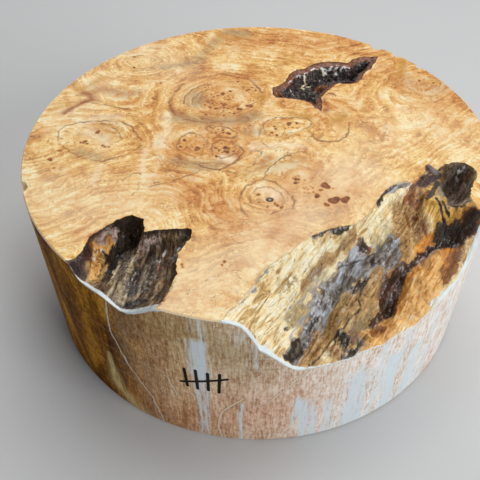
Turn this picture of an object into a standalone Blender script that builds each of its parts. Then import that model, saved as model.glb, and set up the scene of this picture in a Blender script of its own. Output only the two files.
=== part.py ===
"""A maple burl turning blank: a sawn disc of burl wood with the natural hollows that the tree left in it.

The blank is one grown piece. It is a plain disc, and each hollow is cut from it with a cutter whose underside
is the hollow's floor. The plan is in millimetres with the disc's centre at 0, 0, and +Y points to the back.
Depths are below the sawn top face.
"""

import math

import bmesh
import bpy
import numpy as np
from mathutils import Matrix, Vector, noise

# Driving dimensions
MM = 0.001
RADIUS_MM = 127.0
HEIGHT_MM = 101.6
RIM_SIDES = 144
ARRIS_MM = 0.6
CUTTER_TOP_MM = 8.0

# How far outside the disc an outline runs where the hollow breaks the rim
OUTSIDE_MM = 150.0

# The large bite at the right front. The outline is its edge on the top face, from the front rim round to the right.
BITE_OUTLINE = (
    (-14, -126), (-12, -122), (-5, -113), (0, -105), (3, -98), (8, -93), (16, -86), (20, -81), (26, -76),
    (31, -73), (36, -70.5), (43, -69), (48, -67.5), (52, -63), (56, -57), (60, -50), (63, -45), (67, -41),
    (72, -37.5), (76, -36), (80, -38.5), (82, -36), (84, -32), (87, -28), (88, -23.5), (90, -22.5), (92, -25),
    (93.5, -27), (96, -24.5), (100, -21.5), (105, -20.5), (109, -21.5), (112, -25), (113.5, -28), (112.5, -32),
    (110, -37), (107.5, -42), (106, -47), (107, -57), (114, -57.5), (OUTSIDE_MM, -75),
    (OUTSIDE_MM, -OUTSIDE_MM), (-18, -OUTSIDE_MM),
)
# Where the bite's floor meets the wall: angle round the disc in degrees, and height above the base
BITE_RIM = (
    (-96.5, 101.6), (-92.8, 99.9), (-91.6, 95.8), (-90.5, 90.5), (-89, 82.6), (-86.8, 77.9), (-84.6, 72.6),
    (-82, 66.8), (-79.4, 65), (-73.9, 64.6), (-70.6, 65.9), (-65, 68.2), (-54.6, 68.3), (-49.1, 71),
    (-45.9, 73.4), (-42.2, 74.7), (-37.7, 74.8), (-34, 78), (-30, 85), (-27, 94), (-25, 101.6),
)
BITE_BANK_POWER = 0.75
# Each form on a floor: the line that it follows, how far it stands up (or sinks, below 0), and its half width
BITE_FORMS = (
    (((56, -71), (44, -84), (31, -98), (17, -124)), -8.0, 6.5),
    (((77, -46), (62, -75), (52, -86), (46, -96), (42, -110)), 5.0, 5.5),
    (((101, -59), (88, -63), (80, -72), (70, -78), (68, -86), (63, -95), (58, -103), (55, -116)), -7.5, 3.6),
    (((104, -27), (101, -41)), -17.0, 5.0),
    (((89, -46), (94, -53), (101, -55), (107, -50)), 5.0, 3.5),
    (((91, -30), (90, -44), (85, -56)), 3.5, 3.5),
    (((82, -40), (78, -52), (74, -62)), -3.0, 2.5),
    (((86, -75), (84, -90)), 3.0, 7.0),
)

# The left front pocket, which breaks the rim too
LEFT_OUTLINE = (
    (-86, -93), (-82, -90), (-80, -86), (-78, -78), (-74, -74), (-66, -66), (-60, -62.8), (-57, -64.5),
    (-54, -66), (-53, -72), (-52.5, -74.5), (-45, -73), (-38, -72.5), (-32, -72), (-30, -73), (-30, -78),
    (-33, -83), (-35, -88), (-35.5, -94), (-35, -100), (-37, -108), (-40, -114.5), (-43, -121),
    (-50, -OUTSIDE_MM), (-110, -120),
)
LEFT_RIM = (
    (-131.5, 101.6), (-130.8, 99.6), (-130, 96.2), (-128.7, 94.2), (-123.6, 94), (-122.3, 93.2), (-119.7, 90.9),
    (-118.1, 89.6), (-116.3, 90.6), (-114.5, 93), (-112.4, 96.8), (-110.4, 100.3), (-109.5, 101.6),
)
LEFT_INNER_DEPTH_MM = 13.0
LEFT_RIM_BLEND_MM = 26.0
LEFT_FORMS = (
    (((-61, -67), (-65, -75), (-70, -86), (-72, -102)), -6.5, 3.8),
    (((-55, -76), (-58, -90), (-58, -104)), 3.5, 4.5),
    (((-78, -84), (-78, -98)), 2.5, 3.0),
    (((-44, -82), (-46, -104)), -2.5, 5.0),
    (((-34, -76), (-40, -80)), 4.0, 4.0),
)

# The closed pocket at the back, where bark grew in
BACK_OUTLINE = (
    (9, 42), (9, 46), (9, 50), (13, 52), (17, 57), (20, 66), (25, 71), (30, 72), (33, 76), (40, 80), (50, 80.5),
    (57, 79), (61, 84), (68, 87), (77.5, 87), (75, 80), (71, 72), (66, 66), (64, 60), (61, 56), (56, 54),
    (49, 55), (45, 50), (41, 45), (38, 40), (38, 30), (37, 25), (33, 29), (31, 34), (24, 37), (16, 38.5),
    (11, 39),
)
BACK_FLOOR_DEPTH_MM = 7.0
BACK_FORMS = (
    (((24, 62), (38, 73), (58, 73)), -2.0, 4.0),
    (((20, 45), (33, 44)), -1.5, 4.0),
    (((30, 52), (40, 62)), 2.0, 3.5),
)

# Share of the floor's depth against the distance in from the outline
BITE_WALL = ((0.0, 0.0), (1.5, 0.5), (3.5, 0.85), (6.0, 1.0))
LEFT_WALL = ((0.0, 0.0), (2.0, 0.6), (4.5, 0.95), (7.0, 1.0))
BACK_WALL = ((0.0, 0.0), (0.8, 0.1), (3.4, 0.22), (6.0, 1.0))
OUTSIDE_SLOPE = 1.6

# Chips on the rim: angle round the disc in degrees, width along the rim, reach in, and reach down
CHIPS = (
    (52.0, 9.0, 3.2, 3.0),
    (45.0, 5.0, 2.4, 2.6),
    (36.5, 6.0, 2.6, 2.4),
    (-160.0, 8.0, 2.4, 3.4),
)

FLOOR_RELIEF_MM = 1.5
FLOOR_GRAIN_MM = 8.0
GRID_STEP_MM = 2.3


def distance_to_segments(x, y, points, closed):
    """The distance from each x, y to the nearest segment of a line through the points."""
    ends = points[1:] + points[:1] if closed else points[1:]
    nearest = np.full(x.shape, np.inf)
    for (ax, ay), (bx, by) in zip(points, ends):
        along_x, along_y = bx - ax, by - ay
        length_squared = along_x**2 + along_y**2
        share = np.clip(((x - ax) * along_x + (y - ay) * along_y) / length_squared, 0, 1)
        nearest = np.minimum(nearest, np.hypot(x - ax - share * along_x, y - ay - share * along_y))
    return nearest


def inside_distance(x, y, outline):
    """The distance in from the outline, below 0 outside it."""
    inside = np.zeros(x.shape, bool)
    for (ax, ay), (bx, by) in zip(outline, outline[1:] + outline[:1]):
        if ay == by:
            continue
        crosses = (ay > y) != (by > y)
        inside ^= crosses & (x < ax + (y - ay) * (bx - ax) / (by - ay))
    distance = distance_to_segments(x, y, outline, closed=True)
    return np.where(inside, distance, -distance)


def rim_depth(x, y, rim):
    """How deep the wall's edge lies at the angle of each x, y."""
    angles, heights = zip(*rim)
    degrees = np.degrees(np.arctan2(y, x))
    return HEIGHT_MM - np.interp(degrees, angles, heights)


def forms_depth(x, y, forms):
    """What the ridges and valleys of a floor add to its depth."""
    depth = np.zeros(x.shape)
    for line, rise, half_width in forms:
        distance = distance_to_segments(x, y, line, closed=False)
        depth -= rise * np.exp(-0.5 * (distance / half_width) ** 2)
    return depth


def floor_relief(x, y):
    """The uneven grain of a natural floor, worked out for each point."""
    values = [
        noise.fractal(Vector((px, py, 0.0)) / FLOOR_GRAIN_MM, 0.9, 2.1, 2)
        for px, py in zip(x.ravel(), y.ravel())
    ]
    return FLOOR_RELIEF_MM * np.array(values).reshape(x.shape)


def wall_share(inside, wall):
    distances, shares = zip(*wall)
    return np.interp(inside, distances, shares)


def bite_depth(x, y):
    """The bite's floor is a bank that falls from the outline to the rim."""
    inside = inside_distance(x, y, BITE_OUTLINE)
    to_rim = np.maximum(RADIUS_MM - np.hypot(x, y), 0)
    share = np.maximum(inside, 0) / (np.maximum(inside, 0) + to_rim + 1e-6)
    bank = rim_depth(x, y, BITE_RIM) * share**BITE_BANK_POWER
    forms = forms_depth(x, y, BITE_FORMS) * np.clip(to_rim / 12.0, 0, 1)
    floor = np.maximum(bank + forms + floor_relief(x, y), 1.0)
    return np.where(inside > 0, floor * wall_share(inside, BITE_WALL), inside * OUTSIDE_SLOPE)


def left_depth(x, y):
    """The left pocket's floor falls to its inner depth and comes up again to the rim."""
    inside = inside_distance(x, y, LEFT_OUTLINE)
    to_rim = np.maximum(RADIUS_MM - np.hypot(x, y), 0)
    near_rim = np.clip(1 - to_rim / LEFT_RIM_BLEND_MM, 0, 1) ** 1.5
    inner = LEFT_INNER_DEPTH_MM + forms_depth(x, y, LEFT_FORMS) + floor_relief(x, y)
    floor = inner + (rim_depth(x, y, LEFT_RIM) - inner) * near_rim
    wall = wall_share(inside, LEFT_WALL)
    wall = wall + (1 - wall) * near_rim**2
    return np.where(inside > 0, np.maximum(floor, 0.6) * wall, inside * OUTSIDE_SLOPE)


def back_depth(x, y):
    inside = inside_distance(x, y, BACK_OUTLINE)
    floor = BACK_FLOOR_DEPTH_MM + forms_depth(x, y, BACK_FORMS) + 1.5 * floor_relief(x, y)
    return np.where(inside > 0, floor * wall_share(inside, BACK_WALL), inside * OUTSIDE_SLOPE)


def make_collection(name, hidden=False):
    collection = bpy.data.collections.new(name)
    collection.hide_render = hidden
    bpy.context.scene.collection.children.link(collection)
    return collection


def object_from(bm, name, collection):
    mesh = bpy.data.meshes.new(name)
    bmesh.ops.recalc_face_normals(bm, faces=bm.faces)
    bm.to_mesh(mesh)
    bm.free()
    obj = bpy.data.objects.new(name, mesh)
    collection.objects.link(obj)
    return obj


def burl_material():
    material = bpy.data.materials.new("maple_burl")
    material.use_nodes = True
    shader = material.node_tree.nodes["Principled BSDF"]
    shader.inputs["Base Color"].default_value = (0.70, 0.45, 0.22, 1.0)
    shader.inputs["Roughness"].default_value = 0.42
    shader.inputs["Metallic"].default_value = 0.0
    material.diffuse_color = (0.70, 0.45, 0.22, 1.0)
    return material


def make_disc(collection):
    """The sawn disc, standing on its base at z = 0, with a fine arris on both edges."""
    bm = bmesh.new()
    bmesh.ops.create_cone(
        bm,
        cap_ends=True,
        segments=RIM_SIDES,
        radius1=RADIUS_MM * MM,
        radius2=RADIUS_MM * MM,
        depth=HEIGHT_MM * MM,
        matrix=Matrix.Translation((0, 0, HEIGHT_MM * MM / 2)),
    )
    disc = object_from(bm, "burl_blank", collection)
    disc.data.materials.append(burl_material())
    arris = disc.modifiers.new("arris", "BEVEL")
    arris.width = ARRIS_MM * MM
    arris.segments = 1
    arris.limit_method = "ANGLE"
    arris.angle_limit = math.radians(60)
    return disc


def hollow_cutter(name, outline, depth_of, collection):
    """A block above the hollow, whose underside follows the hollow's floor."""
    inner = np.array([point for point in outline if math.hypot(*point) < RADIUS_MM + 3])
    low = inner.min(0) - 3 * GRID_STEP_MM
    high = inner.max(0) + 3 * GRID_STEP_MM
    open_points = [point for point in outline if math.hypot(*point) >= RADIUS_MM + 3]
    if open_points:
        beyond = RADIUS_MM + 2 * GRID_STEP_MM
        low[1] = -beyond
        if max(point[0] for point in open_points) > RADIUS_MM:
            high[0] = beyond
    steps = np.ceil((high - low) / GRID_STEP_MM).astype(int)
    bm = bmesh.new()
    bmesh.ops.create_grid(bm, x_segments=int(steps[0]), y_segments=int(steps[1]), size=0.5)
    unit = np.array([vertex.co[:2] for vertex in bm.verts])
    plan = low + (unit + 0.5) * (high - low)
    depth = depth_of(plan[:, 0], plan[:, 1])
    highest = HEIGHT_MM + CUTTER_TOP_MM
    for vertex, (x, y), below in zip(bm.verts, plan, depth):
        z = min(HEIGHT_MM - below, highest - 1.0)
        vertex.co = Vector((x, y, z)) * MM
    raised = bmesh.ops.extrude_face_region(bm, geom=bm.faces[:], use_keep_orig=True)
    for item in raised["geom"]:
        if isinstance(item, bmesh.types.BMVert):
            item.co.z = highest * MM
    return object_from(bm, name, collection)


def chip_cutter(number, angle, width, reach_in, reach_down, collection):
    """A flattened ball on the rim's edge, which takes out one chip."""
    bm = bmesh.new()
    bmesh.ops.create_icosphere(bm, subdivisions=2, radius=1.0)
    centre = Vector((RADIUS_MM * MM, 0, HEIGHT_MM * MM))
    size = Matrix.Diagonal((reach_in * MM, width / 2 * MM, reach_down * MM, 1))
    turn = Matrix.Rotation(math.radians(angle), 4, "Z")
    bmesh.ops.transform(bm, matrix=turn @ Matrix.Translation(centre) @ size, verts=bm.verts)
    return object_from(bm, f"chip_cutter_{number}", collection)


def cut(body, cutter):
    cutter.hide_render = True
    cutter.display_type = "WIRE"
    boolean = body.modifiers.new(cutter.name, "BOOLEAN")
    boolean.operation = "DIFFERENCE"
    boolean.solver = "EXACT"
    boolean.object = cutter


def build():
    for obj in list(bpy.data.objects):
        bpy.data.objects.remove(obj)
    parts = make_collection("maple_burl_turning_blank")
    cutters = make_collection("cutters", hidden=True)
    blank = make_disc(parts)
    cut(blank, hollow_cutter("bite_cutter", BITE_OUTLINE, bite_depth, cutters))
    cut(blank, hollow_cutter("left_cutter", LEFT_OUTLINE, left_depth, cutters))
    cut(blank, hollow_cutter("back_cutter", BACK_OUTLINE, back_depth, cutters))
    for number, (angle, width, reach_in, reach_down) in enumerate(CHIPS, start=1):
        cut(blank, chip_cutter(number, angle, width, reach_in, reach_down, cutters))


build()
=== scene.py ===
"""The looks of the maple burl turning blank: its fine surface, its figure, and a plain studio round it.

The blank is one piece. Its mesh is made again here from the same forms as the frame's solid, with a finer
surface, and it carries fields (distances and soft masks, one value a point) that the materials read.
Plan and depth are in millimetres, with the disc's centre at 0, 0 and +Y to the back.
"""

import math

import bpy
import numpy as np
from mathutils import Matrix, Vector, noise
from mathutils.geometry import delaunay_2d_cdt


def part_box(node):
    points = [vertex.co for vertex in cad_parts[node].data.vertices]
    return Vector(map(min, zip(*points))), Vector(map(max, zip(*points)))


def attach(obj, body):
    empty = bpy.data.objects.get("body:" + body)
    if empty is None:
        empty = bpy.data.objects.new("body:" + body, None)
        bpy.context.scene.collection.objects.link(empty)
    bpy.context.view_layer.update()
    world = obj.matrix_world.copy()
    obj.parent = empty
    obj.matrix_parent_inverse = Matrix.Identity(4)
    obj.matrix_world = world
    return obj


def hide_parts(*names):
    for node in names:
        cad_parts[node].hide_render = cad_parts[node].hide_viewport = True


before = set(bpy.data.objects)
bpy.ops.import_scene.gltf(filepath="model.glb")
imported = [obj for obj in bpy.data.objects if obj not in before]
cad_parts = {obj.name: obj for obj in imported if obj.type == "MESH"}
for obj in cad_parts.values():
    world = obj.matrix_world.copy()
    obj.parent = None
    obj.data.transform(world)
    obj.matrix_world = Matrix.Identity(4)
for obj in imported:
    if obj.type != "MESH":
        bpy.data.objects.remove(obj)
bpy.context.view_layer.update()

MM = 0.001
low_corner, high_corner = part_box("burl_blank")
RADIUS = (high_corner[0] - low_corner[0]) / 2 / MM
HEIGHT = high_corner[2] / MM
ARRIS = 0.6
# A coordinate outside the disc, where the outline of a hollow that breaks the rim is closed
OUTSIDE = 150.0
# How near an outline its distance is measured, and what the fields hold where nothing is near
MARGIN = 3.0
FAR_OUT = -20.0
FAR_FROM_RIM = 50.0
FAR_FROM_LINE = 40.0
# How near the ring, or a row of the unrolled wall, a point is taken as on it, and how near two are one
ON_LINE = 0.01
ON_ROW = 0.001
WELD_STEP = 0.0005

# The large bite at the right front: its outline on the top, its rim on the wall, and the forms of its floor
BITE_OUTLINE = (
    (-14, -126), (-12, -122), (-5, -113), (0, -105), (3, -98), (8, -93), (16, -86), (20, -81), (26, -76),
    (31, -73), (36, -70.5), (43, -69), (48, -67.5), (52, -63), (56, -57), (60, -50), (63, -45), (67, -41),
    (72, -37.5), (76, -36), (80, -38.5), (82, -36), (84, -32), (87, -28), (88, -23.5), (90, -22.5),
    (92, -25), (93.5, -27), (96, -24.5), (100, -21.5), (105, -20.5), (109, -21.5), (112, -25), (113.5, -28),
    (112.5, -32), (110, -37), (107.5, -42), (106, -47), (107, -57), (114, -57.5), (OUTSIDE, -75),
    (OUTSIDE, -OUTSIDE), (-18, -OUTSIDE),
)
BITE_RIM = (
    (-96.5, 101.6), (-92.8, 99.9), (-91.6, 95.8), (-90.5, 90.5), (-89, 82.6), (-86.8, 77.9), (-84.6, 72.6),
    (-82, 66.8), (-79.4, 65), (-73.9, 64.6), (-70.6, 65.9), (-65, 68.2), (-54.6, 68.3), (-49.1, 71),
    (-45.9, 73.4), (-42.2, 74.7), (-37.7, 74.8), (-34, 78), (-30, 85), (-27, 94), (-25, 101.6),
)
BITE_BANK_POWER = 0.75
BITE_RIM_BLEND = 12.0
# The ridges and valleys of a floor: line, rise, half width
BITE_FORMS = (
    (((56, -71), (44, -84), (31, -98), (17, -124)), -8.0, 6.5),
    (((77, -46), (62, -75), (52, -86), (46, -96), (42, -110)), 5.0, 5.5),
    (((101, -59), (88, -63), (80, -72), (70, -78), (68, -86), (63, -95), (58, -103), (55, -116)), -7.5, 3.6),
    (((104, -27), (101, -41)), -17.0, 5.0),
    (((89, -46), (94, -53), (101, -55), (107, -50)), 5.0, 3.5),
    (((91, -30), (90, -44), (85, -56)), 3.5, 3.5),
    (((82, -40), (78, -52), (74, -62)), -3.0, 2.5),
    (((86, -75), (84, -90)), 3.0, 7.0),
)
# The fibres of a floor: height, direction in degrees, length, width, and the place in the noise
BITE_FIBRES = ((1.3, 57, 20, 4.2, 1.0), (0.5, 60, 7, 1.6, 9.0))
# How a hollow falls to its floor: distance in from the outline, and share of the depth
BITE_WALL = ((0.0, 0.0), (1.5, 0.5), (3.5, 0.85), (6.0, 1.0))

# The two-lobed pocket at the left front
LEFT_OUTLINE = (
    (-86, -93), (-82, -90), (-80, -86), (-78, -78), (-74, -74), (-66, -66), (-60, -62.8), (-57, -64.5),
    (-54, -66), (-53, -72), (-52.5, -74.5), (-45, -73), (-38, -72.5), (-32, -72), (-30, -73), (-30, -78),
    (-33, -83), (-35, -88), (-35.5, -94), (-35, -100), (-37, -108), (-40, -114.5), (-43, -121),
    (-50, -OUTSIDE), (-110, -120),
)
LEFT_RIM = (
    (-131.5, 101.6), (-130.8, 99.6), (-130, 96.2), (-128.7, 94.2), (-123.6, 94), (-122.3, 93.2),
    (-119.7, 90.9), (-118.1, 89.6), (-116.3, 90.6), (-114.5, 93), (-112.4, 96.8), (-110.4, 100.3),
    (-109.5, 101.6),
)
LEFT_INNER_DEPTH = 13.0
LEFT_RIM_BLEND = 26.0
LEFT_FORMS = (
    (((-61, -67), (-65, -75), (-70, -86), (-72, -102)), -6.5, 3.8),
    (((-55, -76), (-58, -90), (-58, -104)), 3.5, 4.5),
    (((-78, -84), (-78, -98)), 2.5, 3.0),
    (((-44, -82), (-46, -104)), -2.5, 5.0),
    (((-34, -76), (-40, -80)), 4.0, 4.0),
)
LEFT_FIBRES = ((1.0, 82, 16, 3.2, 21.0), (0.35, 80, 6, 1.3, 29.0))
LEFT_WALL = ((0.0, 0.0), (2.0, 0.6), (4.5, 0.95), (7.0, 1.0))

# The closed bark pocket at the back
BACK_OUTLINE = (
    (9, 42), (9, 46), (9, 50), (13, 52), (17, 57), (20, 66), (25, 71), (30, 72), (33, 76), (40, 80),
    (50, 80.5), (57, 79), (61, 84), (68, 87), (77.5, 87), (75, 80), (71, 72), (66, 66), (64, 60), (61, 56),
    (56, 54), (49, 55), (45, 50), (41, 45), (38, 40), (38, 30), (37, 25), (33, 29), (31, 34), (24, 37),
    (16, 38.5), (11, 39),
)
BACK_FLOOR_DEPTH = 7.0
BACK_FORMS = (
    (((24, 62), (38, 73), (58, 73)), -2.0, 4.0),
    (((20, 45), (33, 44)), -1.5, 4.0),
    (((30, 52), (40, 62)), 2.0, 3.5),
)
BACK_WALL = ((0.0, 0.0), (0.8, 0.1), (3.4, 0.22), (6.0, 1.0))

# Chips on the rim: angle in degrees, width along the rim, reach in, reach down
CHIPS = (
    (52.0, 9.0, 3.2, 3.0),
    (45.0, 5.0, 2.4, 2.6),
    (36.5, 6.0, 2.6, 2.4),
    (-160.0, 8.0, 2.4, 3.4),
)
FLOOR_RELIEF = 1.5
FLOOR_GRAIN = 8.0

# How close the points lie, from the coarse base to the eyes of the figure
RING_POINTS = 800
TOP_STEP = 1.35
FLOOR_STEP = 0.75
DETAIL_STEP = 0.5
EDGE_STEP = 0.7
WALL_STEP = 1.7
BACK_WALL_STEP = WALL_STEP * 1.6
SEAM_STEP = 3.0
BASE_STEP = 12.0
# How far round the eyes and the lines the finest grid goes
EYE_REACH = 1.1
LINE_REACH = EYE_REACH + 0.4
# How far the grids keep from the hollows' outlines, the arris, the rim, the wall's seam and the base's edge
TOP_GAP = 0.8
FLOOR_GAP = 0.35
DETAIL_GAP = 0.5
ARRIS_GAP = 0.4
RIM_GAP = 0.9
SEAM_GAP = 0.8
BASE_GAP = 5.0
# The finer part of the wall in degrees, and the finest part: its angle and height, and its reach each way
FRONT_WALL = (-165, 5)
INK_PLACE = (-100.8, 53.0)
INK_REACH = (15, 11)
# The material slots after those of the top and its three hollows
WALL_SLOT = 4
BASE_SLOT = 5

# Clusters of eyes on the top: centre, half sizes, turn in degrees, and how many pin knots are drawn in it
CLUSTERS = (
    (-19, 38, 25, 19, 5, 34),
    (-88, -3, 23, 16, -6, 6),
    (-33.5, -7, 9.5, 9.5, 10, 2),
    (-18, -11, 8, 8, 0, 3),
    (-19, 4.5, 8, 4.5, -15, 5),
    (9.5, 6.5, 6.5, 7, 0, 2),
    (21, 12, 9, 6.5, 15, 7),
    (5.5, -51, 12, 12.5, 0, 3),
    (21.5, -36, 5, 4.5, 0, 12),
    (26.5, -43.5, 4, 4, 0, 12),
    (38, -50, 11, 9, 10, 2),
    (101, 54, 10, 8, 10, 5),
    (-75, 80, 9, 8, 20, 0),
)
# Eyes that stand out: x, y, radius
EYES = (
    (-12, 56.4, 1.0), (-20.8, 42.9, 1.5), (-16.3, 45.7, 1.0), (-5.6, 47.2, 1.2), (-8.7, 50, 0.7),
    (-3.3, 50, 0.7), (-1, 46.5, 0.8), (-26, 39.4, 0.8), (-23.8, 40.8, 0.8), (-27.7, 42.1, 0.7),
    (-19.6, 31.4, 1.5), (-21.1, 32.7, 0.9), (-26.4, 32.7, 0.8), (-30.8, 31.3, 0.7), (-27.6, 28.7, 1.2),
    (-23.8, 27.4, 1.3), (-19.4, 28.1, 1.0), (-17.2, 27.5, 0.8), (-10.4, 26.9, 1.7), (-13.3, 22.4, 0.9),
    (-19.1, 20.4, 0.9), (-29.4, 20.9, 0.9), (-4.6, 30.2, 2.0), (-88.9, 3.7, 1.5), (-94.6, -5.4, 1.4),
    (-92.9, -7.1, 0.8), (-96.6, -6, 0.8), (-84.2, -8.7, 0.8), (-82.6, -9.8, 0.8), (-80.5, -9.8, 0.7),
    (-110, -21, 1.4), (-106.3, -28.1, 0.6), (-32.2, -10.8, 1.8), (-41.4, -9.2, 1.0), (-39.8, -3.4, 1.2),
    (-33.8, 0.5, 0.6), (-16.5, -10, 1.8), (-16.2, -13.3, 1.6), (-22.2, -10.1, 1.1), (-20.4, -12.1, 0.9),
    (-21.5, -17.3, 1.0), (-12.5, -12.7, 0.8), (-19.2, 6.2, 0.8), (-18.7, 3.8, 0.8), (-15.9, 3.3, 1.4),
    (-21.7, 6.8, 0.6), (18, 12.7, 1.6), (22.4, 13.3, 1.0), (9.7, 10.1, 0.8), (10.4, 7.7, 0.9),
    (8.2, 4.1, 1.0), (11, 1.8, 0.9), (1, -47.6, 1.0), (1.4, -53.2, 0.7), (5.4, -56.9, 0.6),
    (10.4, -55.4, 0.9), (12.3, -56.8, 1.0), (9.2, -54.5, 0.7), (20.5, -35.6, 1.4), (19.8, -38.6, 1.0),
    (34.8, -40.3, 2.4), (32.3, -43.8, 1.0), (30.2, -48.1, 1.6), (38.4, -51.3, 2.8), (43.8, -50.8, 2.4),
    (34.4, -54.6, 1.4), (-80.2, 85.5, 1.0), (-78.4, 72.5, 1.0), (-59.4, 54.3, 0.8), (-14, -93, 0.8),
    (-15, -95, 0.6), (-33, -95, 0.7), (-32.5, -96.5, 0.5), (99, 58.5, 1.0), (107, 56, 0.9), (111, 55, 0.8),
)
PIN_KNOT_RADII = (0.3, 0.65)
# How softly the growth lines of neighbouring clusters run into one another
CLUSTER_BLEND = 5.0
# The one eye with a light middle in a black ring
DARK_EYE = (6.7, -51.3, 1.9)

# Growth lines that stand out on the top: points and half width
BROWN_LINES = (
    (((-43, -12), (-43, -4.6), (-41.5, 0), (-38.2, 3.4), (-34.7, 3.1), (-31, 1.3), (-28.3, -2.1),
      (-27, -6.7)), 0.35),
    (((-33.4, -22.8), (-29, -25.4), (-25, -27.4), (-19.6, -28.4), (-15.7, -26.3), (-11.8, -23),
      (-8.6, -17.6), (-6.7, -12.7), (-9.5, -8.8), (-13.8, -4.3)), 0.45),
    (((-24.6, -11.2), (-24.2, -6.7), (-20.9, -3.2), (-16.6, -4), (-13, -6.6), (-11.2, -11), (-13.4, -16.6),
      (-18.7, -18.9), (-23, -15.6), (-24.6, -11.2)), 0.25),
    (((-28.6, 8.5), (-27.2, 9.7), (-24.2, 7.4), (-22.9, 9.2), (-20, 9.8), (-15.7, 7.5), (-11.3, 3.9),
      (-10.5, 1), (-13.9, -0.8), (-19.6, -0.3), (-23.3, 3.2), (-27.7, 6.1), (-28.6, 8.5)), 0.4),
    (((-45.5, 53), (-49.4, 44.7), (-51.7, 37.8), (-51.9, 32.4), (-50, 25.9), (-47, 20.7)), 0.7),
    (((-47, 20.7), (-40.8, 16.4), (-33.3, 14), (-26, 13.4), (-17.4, 14.8), (-10.2, 16)), 0.35),
    (((-25.8, 65), (-19.4, 65.5), (-11.4, 64.5), (-5, 59.4), (-1, 52.2), (2.9, 43.8)), 0.5),
    (((2.9, 7.7), (0.8, 1.7), (2.2, -4.1), (6.4, -8.6), (11.2, -9.7), (18.1, -7.3), (25, -6)), 0.3),
    (((30.6, 5.6), (31.3, -0.3), (34.3, -3.2), (39, -3.7), (44.6, -3.4), (49.2, 1), (50.9, 8.2),
      (52, 15.5)), 0.35),
    (((-8.4, -52.9), (-7.3, -46.2), (-4.8, -41.4), (-0.3, -37.3), (4.2, -36.3), (9.4, -38.2), (13.8, -43),
      (17.5, -47.8), (18.6, -52.5), (17.8, -58), (14, -62.6), (7.8, -65.3), (1.7, -67.2), (-3.2, -64.6),
      (-7, -59.3), (-8.4, -52.9)), 0.3),
    (((-3.3, -54.7), (-2.8, -48), (1, -42.3), (6.8, -41.2), (11.9, -46), (14.2, -52.6), (11.6, -59),
      (6, -62.7), (0.5, -61), (-3.3, -54.7)), 0.22),
    (((-61.7, -4.4), (-65, -1), (-70.6, 8.5), (-77.2, 13.3), (-89, 14.5), (-99.8, 13), (-108.5, 9.3),
      (-111, 4.4), (-110.4, -1.5), (-107.6, -7.3), (-101.3, -14), (-93.2, -19.4), (-82.4, -22.5),
      (-74.8, -19), (-67.3, -14.7), (-62.7, -7.9)), 0.35),
    (((-74.7, -2.3), (-77, 3.6), (-82.4, 9.6), (-88.6, 12)), 0.5),
    (((-56.3, -14.9), (-52.6, -20.3), (-48.3, -27.7), (-46.9, -31.9)), 0.3),
    (((-52.3, -17), (-48.9, -22.5), (-45.7, -27.7), (-44.8, -29.8)), 0.3),
    (((-54, -42), (-49, -40.5), (-43.9, -38.9), (-36.5, -33.8), (-30, -30.6)), 0.3),
    (((-104.7, 33.7), (-92, 31.2), (-79.4, 27.3), (-74.7, 26)), 0.4),
    (((-14.9, -29.4), (-12.3, -30.4), (-9.6, -32.4), (-11.5, -34.5)), 0.35),
    (((-17.3, -36.6), (-19, -41.5), (-20, -45.5)), 0.35),
    (((-59.8, -38.8), (-59.5, -45.6), (-62.2, -49.5)), 0.3),
)
DARK_LINES = (
    (((-41.7, -16.4), (-38.5, -18.6), (-36.3, -19.6), (-34.8, -22.3), (-31.3, -22.8), (-28.6, -23.3)), 0.35),
    (((2.9, 7.7), (4, 12.5), (7.3, 16.9), (11.6, 18.6), (17.5, 18.6), (22.6, 18.9), (28.3, 17.7),
      (30.9, 14), (28.6, 9), (22.8, 5.5), (17, 3.6)), 0.3),
    (((3.6, 7.7), (4.7, 2.9), (8.5, -0.6), (13.5, 0.7), (15.7, 6.6), (14.4, 11.4), (10.8, 13.8),
      (6.5, 12.6)), 0.2),
    (((3.3, -13), (0.2, -18.6), (-2, -25)), 0.3),
    (((17.9, -15.7), (13.7, -17.9), (9.6, -22.8), (5.9, -27.6), (4.6, -32.2), (3.3, -35.3)), 0.3),
    (((17.9, -46.9), (18, -50.7), (19.9, -52.5)), 0.3),
    (((-69, -37.9), (-65.8, -33.8), (-62, -31.7), (-60, -32.7)), 0.3),
    (((-51.9, -39.2), (-49.4, -38.6)), 0.4),
    (((-42.9, 32.5), (-43.5, 39.2), (-39.6, 47.6), (-34.5, 51.9), (-28.3, 53.4)), 0.3),
    (((-38.3, 31.2), (-38, 37.9), (-34, 44.8), (-28.8, 47.7)), 0.25),
    (((40.8, 42.6), (44, 44.8), (47, 41)), 0.4),
)

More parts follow.
